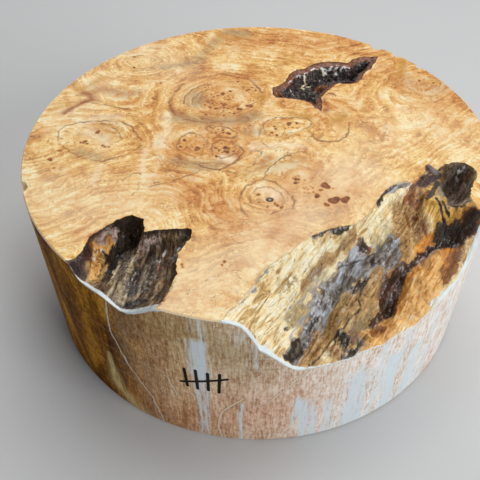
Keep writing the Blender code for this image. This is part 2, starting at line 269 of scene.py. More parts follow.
# Stains on the top: tone, line, half width, strength
STAINS = (
    ("rust", ((-112.4, 21.8), (-107.4, 28.4), (-101.7, 33.8), (-97.5, 35.8)), 1.3, 0.95),
    ("rust", ((-97.5, 35.8), (-100.7, 40.6), (-105, 43.3)), 1.8, 0.85),
    ("rust", ((-98.4, 44.8), (-93.5, 47.6), (-86.8, 44.9), (-78.7, 42), (-72.7, 43.6)), 3.2, 0.5),
    ("rust", ((92, 55), (110, 52)), 6.0, 0.35),
    ("rust", ((38.9, 37.5), (37.9, 32.9)), 1.3, 0.95),
    ("rust", ((39.2, 26), (39.8, 27)), 1.7, 0.95),
    ("rust", ((43.5, 43), (45, 43)), 1.0, 0.6),
    ("rust", ((-49.5, 26), (-44, 22)), 2.2, 0.6),
    ("rust", ((6, -18), (3, -24)), 2.2, 0.5),
    ("rust", ((-84, 0), (-80, 6), (-86, 10)), 5.0, 0.25),
    ("gold", ((93, 83), (91, 74), (87, 63)), 2.4, 0.8),
    ("gold", ((44, 15), (47, 18), (50, 21)), 2.4, 0.8),
    ("gold", ((1, 39), (3, 40)), 2.0, 0.9),
    ("gold", ((-8, 48), (-2, 50)), 1.4, 0.6),
    ("gold", ((20, 82), (14, 76)), 2.5, 0.5),
    ("gold", ((20, 22), (30, 20)), 1.8, 0.7),
    ("gold", ((28, 8), (31, 12)), 1.6, 0.5),
    ("gold", ((-28, 106), (-24, 115), (-10, 112)), 3.5, 0.5),
    ("gold", ((-107, 47.5), (-102, 53), (-97, 60)), 2.0, 0.5),
    ("gold", ((-120, 25), (-112, 31)), 2.0, 0.5),
    ("grey", ((-60, 73), (-42, 77.8), (-35, 84)), 2.2, 0.5),
    ("grey", ((-42, 78), (-34, 94), (-28, 106)), 3.0, 0.35),
    ("grey", ((-36, 33), (-36, 40)), 4.0, 0.6),
    ("grey", ((-45, 17), (-30, 15), (-8, 16), (-2, 21)), 3.5, 0.55),
    ("grey", ((-20, 119), (-8, 117)), 3.0, 0.6),
    ("grey", ((-42, -22), (-28, -26), (-20, -24)), 3.0, 0.5),
    ("grey", ((0, 5), (-5, 5)), 3.0, 0.4),
    ("grey", ((-96, -14), (-84, -19)), 2.5, 0.5),
    ("grey", ((20, -22), (-4, -30)), 5.0, 0.2),
    ("light", ((-17.5, -18.8), (-14, -20)), 2.2, 0.95),
    ("light", ((-94, 4), (-84, -4), (-82, -8)), 3.0, 0.6),
    ("light", ((-100, 12), (-90, 18), (-80, 18)), 2.5, 0.5),
    ("light", ((-54, -9), (-50, 5), (-52, 20)), 2.5, 0.4),
    ("light", ((-82, -26), (-84, -40)), 1.2, 0.5),
    ("light", ((-60, -12), (-59, -30)), 1.2, 0.6),
    ("light", ((2, -44), (10, -47)), 3.0, 0.5),
    ("light", ((-2, -10), (14, -6), (24, -8)), 2.0, 0.5),
    ("cream", ((-40, -118), (-10, -95), (10, -78), (50, -30)), 15.0, 1.0),
    ("cream", ((-110, -50), (-70, -60)), 20.0, 0.7),
    ("cream", ((60, -10), (95, 20), (110, -5)), 16.0, 0.5),
    ("cream", ((-110, 10), (-95, 60)), 12.0, 0.5),
    ("cream", ((-50, 70), (-75, 95)), 14.0, 0.6),
    ("amber", ((-30, 50), (-10, 20), (-30, -10)), 20.0, 0.8),
    ("amber", ((-45, -35), (-25, -50), (-10, -70)), 10.0, 0.9),
    ("amber", ((8, -70), (20, -30), (40, -50)), 10.0, 0.7),
    ("amber", ((-70, 30), (-60, 28)), 7.0, 0.6),
    ("amber", ((-20, 105), (60, 105)), 12.0, 0.8),
    ("amber", ((40, 20), (60, 40)), 12.0, 0.5),
    ("amber", ((70, 80), (100, 50), (115, 20)), 14.0, 0.6),
)

# Tones of the floors: tone, line, half width, strength
BITE_TONES = (
    ("cream", ((-13, -122), (-8, -114), (-2, -102), (4, -95), (12, -90), (20, -87), (28, -81)), 4.0, 1.0),
    ("cream", ((5, -113), (14, -103), (24, -90), (38, -76)), 3.0, 0.75),
    ("cream", ((69, -46), (63, -56), (58, -64), (62, -68)), 4.5, 1.0),
    ("cream", ((101, -76), (95, -84), (85, -91), (78, -97), (73, -102)), 4.5, 0.9),
    ("cream", ((15, -113), (19, -112), (13, -118)), 2.4, 0.9),
    ("cream", ((62, -70), (55, -73), (49, -76), (41, -78), (38, -81), (33, -87), (28, -92), (23, -98)),
      0.8, 1.0),
    ("olive", ((20, -89), (15, -98), (10, -108)), 3.0, 0.7),
    ("olive", ((36, -76), (28, -84)), 2.0, 0.5),
    ("olive", ((67, -72), (71, -70)), 2.4, 0.9),
    ("olive", ((80, -61), (79, -64)), 2.2, 0.8),
    ("olive", ((56, -98), (50, -107)), 3.0, 0.7),
    ("olive", ((62, -98), (56, -106), (48, -113)), 4.0, 0.8),
    ("olive", ((92, -81), (98, -74)), 2.5, 0.6),
    ("olive", ((34, -82), (31, -88), (27, -95), (21, -100), (16, -106)), 5.5, 0.62),
    ("stone", ((31, -86), (25, -95), (18, -102)), 4.0, 0.4),
    ("olive", ((57, -109), (52, -106), (48, -107), (45, -113)), 3.0, 0.8),
    ("rust", ((60, -104), (55, -108)), 1.8, 0.75),
    ("grey", ((66, -72), (57, -77), (50, -81.5), (43, -86), (37, -90.5), (31, -97)), 3.9, 1.1),
    ("grey", ((52, -79), (44, -84)), 4.6, 1.1),
    ("grey", ((31, -98), (27, -105), (21, -114), (17, -122)), 2.6, 1.0),
    ("dark", ((29, -102), (25, -108)), 1.0, 0.8),
    ("dark", ((20, -112), (16, -121)), 0.8, 0.8),
    ("grey", ((15, -88), (8, -94), (4, -98), (1, -104), (-1, -110)), 0.7, 0.6),
    ("olive", ((11, -106), (16, -98)), 2.0, 0.7),
    ("gold", ((72, -54), (72, -63), (71, -69), (66, -78), (58, -87), (50, -95), (44, -101), (38, -104),
      (33, -108), (27, -114), (23, -122)), 4.6, 1.0),
    ("gold", ((22, -95), (28, -86), (36, -79), (42, -74), (47, -70)), 1.3, 0.8),
    ("gold", ((89, -33), (84, -42), (81, -47), (79, -52), (80, -60)), 4.4, 1.0),
    ("rust", ((50, -70.5), (55, -71)), 1.5, 0.7),
    ("gold", ((22, -93), (27, -87)), 1.0, 0.7),
    ("rust", ((86, -43), (85, -46)), 1.5, 0.9),
    ("rust", ((82, -48), (80, -50)), 1.4, 0.9),
    ("rust", ((83, -34), (79, -40), (77, -46), (77, -49)), 1.3, 1.0),
    ("rust", ((73, -49), (75, -48)), 1.2, 0.8),
    ("rust", ((75, -55), (76, -57)), 1.1, 0.8),
    ("rust", ((79, -54), (80, -55)), 0.9, 0.8),
    ("rust", ((83, -58), (84, -59)), 1.0, 0.8),
    ("rust", ((37, -118), (42, -117), (45, -112)), 3.2, 0.6),
    ("amber", ((86, -70), (80, -74), (74, -82), (71, -87), (69, -94), (64, -101), (58, -109), (53, -113)),
      4.2, 1.1),
    ("amber", ((93, -71), (86, -79), (80, -88), (74, -96)), 6.0, 1.0),
    ("burnt", ((89, -60), (84, -63), (80, -67)), 1.6, 1.0),
    ("burnt", ((80, -76), (73, -84), (71, -89), (67, -97)), 1.4, 0.7),
    ("yellow", ((89, -44), (89, -50), (92, -55), (96, -57), (100, -57), (104, -56), (108, -52)), 3.6, 1.3),
    ("rust", ((101, -65), (99, -70), (96, -75), (92, -81)), 3.2, 0.75),
    ("burnt", ((96, -66), (94, -71)), 2.6, 0.9),
    ("rust", ((98, -60), (103, -60), (107, -57)), 4.5, 0.9),
    ("purple", ((92, -62), (88, -64), (83, -68), (78, -72), (74, -75), (70.5, -77)), 1.2, 1.1),
    ("purple", ((71, -78.5), (68.5, -82), (67, -85)), 2.2, 1.2),
    ("purple", ((66, -87), (64.5, -90), (63, -93.5)), 3.4, 1.3),
    ("purple", ((62, -96), (58, -100), (54, -104)), 1.7, 0.75),
    # Painted highlight: the lilac line along the narrow crevice stands for light caught in it
    ("lilac", ((90, -66), (85, -69), (81, -71.5)), 1.1, 0.8),
    # Dark bark in the deep hole at the crevice's head, made darker also as painted shade
    ("dark", ((93, -60.5), (96, -61), (99, -60)), 3.0, 1.2),
    ("dark", ((99, -60.5), (103, -59.2), (107, -57)), 2.5, 0.8),
    ("purple", ((95, -65), (101, -64), (106, -61)), 1.6, 0.8),
    ("dark", ((58, -78), (56, -80)), 1.6, 0.8),
    ("dark", ((47, -92), (50, -90)), 1.8, 0.9),
    ("dark", ((53, -70), (51, -72)), 1.4, 0.8),
    ("dark", ((22, -113), (19, -121), (14, -123)), 0.9, 0.8),
    ("dark", ((14, -113), (17, -108)), 0.5, 0.6),
    ("dark", ((39, -112), (42, -114)), 2.0, 1.0),
    ("dark", ((51, -111), (47, -115), (45, -117), (41, -120)), 2.0, 0.6),
    ("dark", ((60, -53), (62, -48), (65, -44), (70, -39)), 0.8, 1.0),
    ("dark", ((27, -76), (33, -72.5), (37, -71), (43, -69.5)), 0.8, 1.0),
    ("grey", ((68, -43), (72, -40), (76, -38)), 1.4, 0.9),
    ("purple", ((88, -25), (92, -25), (92, -30), (88, -34), (83, -37)), 2.6, 1.1),
    ("dark", ((92, -36), (89, -42), (86, -48)), 1.0, 0.9),
    ("stone", ((104, -24), (103, -33), (101, -43)), 7.0, 1.3),
    ("dark", ((104, -24), (103, -33), (101, -43)), 6.0, 0.38),
    ("rust", ((97, -25), (98, -28)), 1.4, 0.7),
    ("lilac", ((102, -25), (107, -29), (104, -36)), 4.0, 0.55),
    # Painted glints: white highlights in the neck pocket, laid with the light tone
    ("light", ((107, -22.9), (106.7, -23.5)), 0.8, 0.8),
    ("light", ((109, -21.8), (108.4, -22.8)), 0.5, 0.5),
    ("light", ((100, -22), (101, -22)), 0.5, 0.5),
    ("rust", ((112, -28), (110, -26)), 1.4, 0.55),
    # Painted glints: white flecks on the floor, laid with the light tone
    ("light", ((94, -84), (88, -90), (84, -93.5)), 0.9, 0.7),
    ("light", ((-3, -116), (1, -114)), 0.5, 0.5),
)
LEFT_TONES = (
    # Dark bark along the valley and the steep back wall; on the back wall the dark is also painted shade
    ("dark", ((-60, -64), (-65, -67), (-68, -73), (-70, -79), (-71, -85), (-71, -92)), 2.6, 1.1),
    ("dark", ((-57, -66), (-60, -69)), 2.4, 0.9),
    ("dark", ((-57, -64.8), (-60.5, -63.4), (-66.4, -67)), 1.8, 1.2),
    ("lilac", ((-76, -76.6), (-72.5, -73), (-69, -69.6)), 1.3, 1.2),
    ("lilac", ((-56, -75), (-53, -77)), 2.2, 0.6),
    ("lilac", ((-52, -75), (-47, -75)), 1.8, 0.5),
    ("amber", ((-76.6, -79.4), (-73.4, -76.8), (-71.4, -74.4), (-69.4, -72)), 1.0, 1.1),
    ("gold", ((-74.2, -81), (-74.6, -87), (-74.6, -95)), 2.1, 1.2),
    ("amber", ((-74.4, -80), (-74.8, -87), (-74.8, -95)), 1.2, 0.75),
    ("cream", ((-66.4, -79), (-66.6, -88), (-67, -98)), 0.9, 0.6),
    # Painted glints: small white highlights, laid with the light tone
    ("light", ((-75.4, -83), (-75.8, -86)), 0.4, 0.5),
    ("light", ((-75.4, -80.4), (-73.6, -78.8), (-72.6, -77.8)), 0.5, 0.6),
    ("rust", ((-74, -73.4), (-77.6, -78)), 0.8, 0.9),
    ("rust", ((-77.2, -79), (-77, -84), (-76.6, -88)), 0.7, 0.85),
    ("purple", ((-79, -84), (-80, -88), (-82, -91), (-81, -95)), 2.4, 1.0),
    ("lilac", ((-80, -92), (-81, -96)), 1.4, 0.7),
    ("olive", ((-67, -76), (-67, -84), (-66, -95), (-65, -104)), 0.7, 0.9),
    ("olive", ((-61, -99), (-62, -104), (-59, -107)), 2.2, 0.6),
    ("stone", ((-62, -77), (-63, -87), (-61, -95)), 3.4, 1.1),
    ("dark", ((-55, -90), (-56, -97), (-56, -103)), 1.5, 0.9),
    ("olive", ((-58, -86), (-59, -95)), 0.8, 0.7),
    # Painted glint: a white highlight, laid with the light tone
    ("light", ((-45, -82), (-48, -81)), 0.7, 0.5),
    ("stone", ((-46, -81), (-49, -87), (-50, -94), (-53, -99)), 2.0, 0.9),
    ("stone", ((-32, -73.5), (-36, -77), (-40, -81.5), (-44, -85)), 1.3, 1.1),
    # Painted glints: small white highlights, laid with the light tone
    ("light", ((-36, -76.4), (-37.6, -78.4)), 0.4, 0.7),
    ("light", ((-43.3, -77), (-44, -79)), 0.5, 0.8),
    ("gold", ((-43, -91), (-45, -101)), 0.7, 0.8),
    ("rust", ((-42, -78), (-46, -86)), 2.4, 0.5),
    ("dark", ((-37, -82), (-37.5, -92), (-37, -100)), 1.6, 0.7),
    ("dark", ((-59, -109), (-54, -109), (-50, -107)), 1.8, 0.9),
)
BACK_TONES = (
    # Painted glints: chains of small white highlights along the pocket's inner edge, laid with the light tone
    ("light", ((19, 56), (22, 63), (25, 67.5), (31, 69.5)), 0.4, 0.62),
    ("light", ((33, 73), (39, 76), (47, 76.5), (58, 75.5)), 0.4, 0.62),
    ("cream", ((29, 59), (27, 62), (30, 65), (32.5, 63)), 0.5, 0.9),
    ("cream", ((29, 68), (30, 66)), 0.5, 0.9),
    ("cream", ((42, 75), (42.6, 75)), 0.6, 0.9),
    # Painted glint: a white highlight, laid with the light tone
    ("light", ((21, 53), (22, 53)), 0.5, 0.7),
    ("rust", ((36, 56), (42, 59)), 1.9, 0.8),
    ("rust", ((14, 47), (22, 44.5)), 1.4, 0.6),
    ("rust", ((30, 47), (33, 44)), 1.4, 0.6),
)
# Thin dark lines on the bite's floor: points and half width
FLOOR_LINES = (
    (((54, -87), (50, -92), (48, -98), (49, -101), (45, -105), (41, -109), (37, -112), (32, -117),
      (26, -123)), 0.3),
    (((89, -48), (91, -53), (94, -57)), 0.6),
    (((92, -50), (94, -53), (95.5, -55)), 0.55),
    (((97, -51), (101, -53), (105, -50)), 0.4),
    (((61, -72), (55, -74.5), (49, -77.5), (42, -79.5), (38.5, -82.5)), 0.25),
)
# How far beyond a hollow's outline its tones reach, in place of the stains
TONE_OVERLAP = 0.1
# The white wax lip where a hollow breaks the rim: angle and width in from the rim, and its share on the wall
WALL_LIP = 0.4
LIP_WIDTHS = (
    (-180, 0), (-130.5, 0), (-129, 0.6), (-127, 1.8), (-124, 2.2), (-121, 1.6), (-119, 0.9), (-117, 1.6),
    (-114, 3.2), (-112, 4.0), (-109.6, 3.8), (-108.6, 1.0), (-108.2, 0), (-97, 0), (-96, 1.2), (-92, 1.8),
    (-87, 1.8), (-82, 1.4), (-80, 1.0), (-78, 0.5), (-76, 0.2), (-50, 0.2), (-46, 0.8), (-42, 1.4),
    (-39, 0.6), (-36, 1.4), (-33, 2.0), (-29, 2.4), (-27.5, 0), (180, 0),
)
# Where the fibres run straight instead of round the clusters: a line, its half width, and their direction
FLOWS = (
    (((-112, -25), (-95, -62), (-70, -78)), 24, 36),
    (((50, -38), (78, -8), (100, 8)), 20, 42),
    (((-30, -100), (0, -80)), 16, 30),
)

# Pale hairline cracks on the wall: angle round the disc and height
CRACKS = (
    ((-121.5, 93), (-122, 85), (-122.8, 72), (-122, 62), (-120.5, 52), (-119.5, 44), (-117, 34), (-114.5, 24),
     (-113.2, 12), (-112.2, 0)),
    ((-109.3, 50), (-108.5, 42), (-107.3, 34)),
    ((-78.5, 65), (-81, 57), (-84, 47), (-87, 38), (-89.5, 34)),
    ((-92, 42), (-95, 34), (-97, 27), (-98, 18), (-98.2, 10), (-97.5, 0)),
)
# Wax on the wall: angle and height of both ends of a streak, half width in millimetres, and strength
WAX_STREAKS = (
    (-101.2, 82, -101.2, 58, 3.8, 1.05),
    (-101.2, 100, -101.0, 84, 3.4, 0.42),
    (-101.4, 58, -102.0, 0, 3.2, 0.6),
    (-100.2, 46, -100.6, 0, 0.9, 0.8),
    (-93, 36, -93, 0, 1.1, 0.7),
    (-92, 90, -90, 70, 6.0, 0.35),
    (-79, 34, -77, 0, 5.0, 0.9),
    (-73, 30, -73, 0, 4.0, 0.8),
    (-66, 42, -66, 0, 8.0, 1.0),
    (-61, 62, -60, 30, 2.6, 0.6),
    (-57, 46, -57, 0, 6.0, 1.0),
    (-54, 66, -53, 30, 3.0, 0.7),
    (-50, 44, -50, 0, 4.5, 0.9),
    (-44.5, 60, -45, 0, 3.5, 0.8),
    (-38, 72, -39, 20, 3.0, 0.6),
    (-30, 40, -31, 0, 6.0, 0.7),
    (30, 36, 31, 0, 7.0, 0.8),
    (75, 40, 74, 0, 9.0, 0.9),
    (110, 60, 111, 0, 4.0, 0.9),
    (150, 28, 150, 0, 7.0, 0.8),
)
# Five hand-inked strokes that count the blank: lower end and upper end, as angle and height
INK_STROKES = (
    ((-104.6, 46.0), (-104.9, 60.5)),
    ((-102.3, 45.2), (-102.4, 61.0)),
    ((-99.9, 45.6), (-99.8, 60.2)),
    ((-97.6, 44.8), (-97.2, 60.8)),
    ((-106.0, 48.5), (-95.6, 57.5)),
)
INK_HALF_WIDTH = 0.85
# Lines on the wall, as angle and height: dark flames, pale sapwood, a stretch in shade, and a rosy one
FLAMES = ((-130.5, 14), (-132.5, 30), (-136.5, 52))
SAPWOOD = ((-125.4, 44), (-125.4, 30), (-125, 16), (-121.5, 6), (-119, 0))
SHADED_WALL = ((-107, 92), (-100, 84), (-93, 78))
BLUSH = ((-118, 8), (-100, 14), (-84, 30))

# The camera as in the photo, fitted to the rims of the top and the base
CAMERA_BACK = 2.223
CAMERA_UP = 2.442
CAMERA_YAW = -2.07
CAMERA_PITCH = -45.75
CAMERA_ROLL = -0.86
FOCAL_PIXELS = 628.2
IMAGE_PIXELS = 480
SENSOR = 36.0
# The studio floor in metres, a hair under the base so that the two faces don't meet
FLOOR_SIZE = 6.0
FLOOR_DROP = 0.0004


# Shape

def distance_to_line(x, y, points, closed=False):
    """The distance from each x, y to the nearest stretch of a line through the points."""
    points = list(points)
    ends = points[1:] + points[:1] if closed else points[1:]
    nearest = np.full(x.shape, np.inf)
    for (ax, ay), (bx, by) in zip(points, ends):
        along_x, along_y = bx - ax, by - ay
        share = ((x - ax) * along_x + (y - ay) * along_y) / (along_x**2 + along_y**2)
        share = np.clip(share, 0, 1)
        nearest = np.minimum(nearest, np.hypot(x - ax - share * along_x, y - ay - share * along_y))
    return nearest


def inside_distance(x, y, outline):
    """The distance in from the outline, below 0 outside it."""
    outline = list(outline)
    inside = np.zeros(x.shape, bool)
    for (ax, ay), (bx, by) in zip(outline, outline[1:] + outline[:1]):
        if ay == by:
            continue
        crosses = (ay > y) != (by > y)
        inside ^= crosses & (x < ax + (y - ay) * (bx - ax) / (by - ay))
    distance = distance_to_line(x, y, outline, closed=True)
    return np.where(inside, distance, -distance)


def noise_at(x, y, z=0.0, octaves=2, persistence=0.9, lacunarity=2.1):
    """Fractal noise at each x, y, about 0 on average."""
    z = np.broadcast_to(z, x.shape)
    values = [
        noise.fractal(Vector(place), persistence, lacunarity, octaves)
        for place in zip(x.ravel(), y.ravel(), z.ravel())
    ]
    return np.array(values).reshape(x.shape)


def rim_depth(x, y, rim):
    """How deep the rim is cut below the sawn top, at the angle of each x, y."""
    angles, heights = zip(*rim)
    return HEIGHT - np.interp(np.degrees(np.arctan2(y, x)), angles, heights)


def forms_depth(x, y, forms):
    """What the ridges and valleys of a floor add to its depth."""
    depth = np.zeros(x.shape)
    for line, rise, half_width in forms:
        depth -= rise * np.exp(-0.5 * (distance_to_line(x, y, line) / half_width) ** 2)
    return depth


def floor_relief(x, y):
    return FLOOR_RELIEF * noise_at(x / FLOOR_GRAIN, y / FLOOR_GRAIN)


def fibres(x, y, layers):
    """Ridges that run at the angle of each layer, from 0 to about its height."""
    ridges = np.zeros(x.shape)
    for height, degrees, length, width, seed in layers:
        turn = math.radians(degrees)
        bend = 2.5 * noise_at(x / 17, y / 17, seed + 5.0)
        along = x * math.cos(turn) + y * math.sin(turn)
        across = -x * math.sin(turn) + y * math.cos(turn) + bend
        ridges += height * (1 - np.abs(noise_at(along / length, across / width, seed)) * 1.6)
    return ridges


def wall_share(inside, wall):
    """Which share of the floor's depth a hollow has at this distance in from its outline."""
    distances, shares = zip(*wall)
    return np.interp(inside, distances, shares)


def natural_edge(outline):
    """The outline in short steps inside the disc, with the small wander of a broken edge."""
    points = []
    for (ax, ay), (bx, by) in zip(outline, outline[1:] + outline[:1]):
        length = math.hypot(bx - ax, by - ay)
        steps = max(1, round(length / EDGE_STEP)) if math.hypot(ax, ay) < RADIUS + 6 else 1
        for step in range(steps):
            share = step / steps
            x, y = ax + (bx - ax) * share, ay + (by - ay) * share
            wander = 0.55 * noise.fractal(Vector((x, y, 3.0)) / 2.6, 0.8, 2.0, 3)
            side_x, side_y = (by - ay) / length, (ax - bx) / length
            points.append((x + side_x * wander, y + side_y * wander))
    return points


def bite_depth(x, y, inside):
    """A bank that falls to the height of the rim, with its forms and fibres fading there."""
    to_rim = np.maximum(RADIUS - np.hypot(x, y), 0)
    share = np.maximum(inside, 0) / (np.maximum(inside, 0) + to_rim + 1e-6)
    bank = rim_depth(x, y, BITE_RIM) * share**BITE_BANK_POWER
    away = np.clip(to_rim / BITE_RIM_BLEND, 0, 1)
    forms = forms_depth(x, y, BITE_FORMS) * away
    fine = fibres(x, y, BITE_FIBRES) - 1.0
    floor = np.maximum(bank + forms + floor_relief(x, y) - fine * (0.3 + 0.7 * away), 0.8)
    return floor * wall_share(inside, BITE_WALL)


def left_depth(x, y, inside):
    """A pocket of even depth with its forms and fibres, which blends into the height of the rim."""
    to_rim = np.maximum(RADIUS - np.hypot(x, y), 0)
    near_rim = np.clip(1 - to_rim / LEFT_RIM_BLEND, 0, 1) ** 1.5
    fine = fibres(x, y, LEFT_FIBRES) - 0.7
    inner = LEFT_INNER_DEPTH + forms_depth(x, y, LEFT_FORMS) + floor_relief(x, y) - fine
    floor = inner + (rim_depth(x, y, LEFT_RIM) - inner) * near_rim
    wall = wall_share(inside, LEFT_WALL)
    wall = wall + (1 - wall) * near_rim**2
    return np.maximum(floor, 0.6) * wall


def back_depth(x, y, inside):
    """A shallow closed pocket with a grainy floor."""
    grains = 1.5 * noise_at(x / 2.2, y / 2.2, 40.0, octaves=3)
    floor = BACK_FLOOR_DEPTH + forms_depth(x, y, BACK_FORMS) + 1.5 * floor_relief(x, y) + grains
    return np.maximum(floor, 0.6) * wall_share(inside, BACK_WALL)


def chips_depth(x, y):
    depth = np.zeros(x.shape)
    for angle, width, reach_in, reach_down in CHIPS:
        turn = math.radians(angle)
        out = x * math.cos(turn) + y * math.sin(turn)
        along = -x * math.sin(turn) + y * math.cos(turn)
        left = 1 - ((out - RADIUS) / reach_in) ** 2 - (along / (width / 2)) ** 2
        depth = np.maximum(depth, np.where(out > 0, reach_down * np.sqrt(np.maximum(left, 0)), 0))
    return depth


BITE, LEFT, BACK = (natural_edge(outline) for outline in (BITE_OUTLINE, LEFT_OUTLINE, BACK_OUTLINE))


def hollow_distances(x, y):
    """The distance in from each hollow's outline, measured only near it and FAR_OUT elsewhere."""
    found = []
    for outline in (BITE, LEFT, BACK):
        (low_x, low_y), (high_x, high_y) = np.min(outline, axis=0), np.max(outline, axis=0)
        near = (x > low_x - MARGIN) & (x < high_x + MARGIN) & (y > low_y - MARGIN) & (y < high_y + MARGIN)
        distance = np.full(x.shape, FAR_OUT)
        distance[near] = inside_distance(x[near], y[near], outline)
        found.append(distance)
    return found


def top_depth(x, y, distances):
    """How deep the upper surface lies below the sawn top, 0 where it is whole."""
    depth = chips_depth(x, y)
    for inside, depth_of in zip(distances, (bite_depth, left_depth, back_depth)):
        within = inside > -0.02
        if within.any():
            found = depth_of(x[within], y[within], np.maximum(inside[within], 0))
            depth[within] = np.maximum(depth[within], found)
    return depth


# Points

def hexagon_grid(low, high, step):
    """Points a step apart in rows that are shifted by half a step, with a slight unevenness."""
    rows = np.arange(low[1], high[1], step * math.sqrt(3) / 2)
    columns = np.arange(low[0], high[0], step)
    x, y = np.meshgrid(columns, rows)
    x = x + (np.arange(len(rows)) % 2)[:, None] * step / 2
    drawn = np.random.default_rng(7).uniform(-0.12, 0.12, (2,) + x.shape) * step
    return np.column_stack([(x + drawn[0]).ravel(), (y + drawn[1]).ravel()])


def triangulate(points, loops):
    """Triangles on the points, with each loop (a list of places, closed) kept as edges."""
    places = [Vector(point) for point in points]
    edges = []
    for loop in loops:
        first = len(places)
        places += [Vector(point) for point in loop]
        edges += [(first + i, first + (i + 1) % len(loop)) for i in range(len(loop))]
    corners, _, faces, _, _, _ = delaunay_2d_cdt(places, edges, [], 1, 1e-5, False)
    return np.array([tuple(corner) for corner in corners]), np.array([tuple(face) for face in faces])


def eye_list():
    """The eyes that stand out, and the pin knots that are drawn at random in each cluster."""
    eyes = list(EYES)
    draw = np.random.default_rng(41)
    for cx, cy, half_x, half_y, turn, count in CLUSTERS:
        for _ in range(count):
            reach = 0.85 * math.sqrt(draw.uniform())
            angle = draw.uniform(0, 2 * math.pi)
            along, across = reach * half_x * math.cos(angle), reach * half_y * math.sin(angle)
            c, s = math.cos(math.radians(turn)), math.sin(math.radians(turn))
            size = draw.uniform(*PIN_KNOT_RADII)
            eyes.append((cx + c * along - s * across, cy + s * along + c * across, size))
    return np.array(eyes)


def near_detail(points, eyes):
    """Which points lie by an eye or a growth line, where the surface is made finer."""
    found = line_field(*points.T, BROWN_LINES + DARK_LINES) < LINE_REACH
    for x, y, size in list(eyes) + [DARK_EYE]:
        found |= np.hypot(points[:, 0] - x, points[:, 1] - y) < size + EYE_REACH
    return found


def upper_surface(eyes):
    """The upper surface: its points in plan and its triangles."""
    low, high = (-RADIUS, -RADIUS), (RADIUS, RADIUS)
    coarse, middle, fine = (hexagon_grid(low, high, step) for step in (TOP_STEP, FLOOR_STEP, DETAIL_STEP))
    in_coarse, in_middle, in_fine = (
        np.max(hollow_distances(*grid.T), axis=0) for grid in (coarse, middle, fine)
    )
    points = np.vstack([
        coarse[(in_coarse < -TOP_GAP) & ~near_detail(coarse, eyes)],
        middle[in_middle > FLOOR_GAP],
        fine[near_detail(fine, eyes) & (in_fine < -DETAIL_GAP)],
    ])
    points = points[np.hypot(*points.T) < RADIUS - ARRIS - ARRIS_GAP]
    angles = np.linspace(-math.pi, math.pi, RING_POINTS, endpoint=False)
    unit = np.column_stack([np.cos(angles), np.sin(angles)])
    plan, faces = triangulate(points, [unit * RADIUS, unit * (RADIUS - ARRIS), BITE, LEFT, BACK])
    centre = plan[faces].mean(1)
    faces = faces[np.hypot(*centre.T) < RADIUS]
    used = np.unique(faces)
    order = np.full(len(plan), -1)
    order[used] = np.arange(len(used))
    return plan[used], order[faces]


def wall_grid(rim_angles, rim_heights):
    """Points on the unrolled wall, angle times radius across and height up, below the rim's own line."""
    half = math.pi * RADIUS
    low, high = (-half + 1, ARRIS + 1), (half - 1, HEIGHT)
    coarse, front = hexagon_grid(low, high, BACK_WALL_STEP), hexagon_grid(low, high, WALL_STEP)
    ink_x, ink_z = math.radians(INK_PLACE[0]) * RADIUS, INK_PLACE[1]
    across, up = INK_REACH
    finest = hexagon_grid((ink_x - across, ink_z - up), (ink_x + across, ink_z + up), DETAIL_STEP)
    left, right = (math.radians(angle) * RADIUS for angle in FRONT_WALL)
    at_front = (front[:, 0] > left) & (front[:, 0] < right)
    at_back = (coarse[:, 0] <= left) | (coarse[:, 0] >= right)
    by_ink = np.abs(front[:, 0] - ink_x) < across + DETAIL_GAP
    by_ink &= np.abs(front[:, 1] - ink_z) < up + DETAIL_GAP
    points = np.vstack([front[at_front & ~by_ink], coarse[at_back], finest])
    rim = np.interp(points[:, 0] / RADIUS, rim_angles, rim_heights)
    return points[points[:, 1] < rim - RIM_GAP]


def angle_points(places):
    return [(math.radians(angle) * RADIUS, height) for angle, height in places]


# Fields that the materials read

def lip_width(angles):
    """How far in from the rim the wax lip reaches at these angles."""
    degrees, widths = zip(*LIP_WIDTHS)
    return np.interp(np.degrees(angles), degrees, widths)


def soft_mask(distance, half_width, strength):
    """The strength on the line, which fades with the distance from it."""
    return strength * np.exp(-0.5 * (distance / half_width) ** 2)


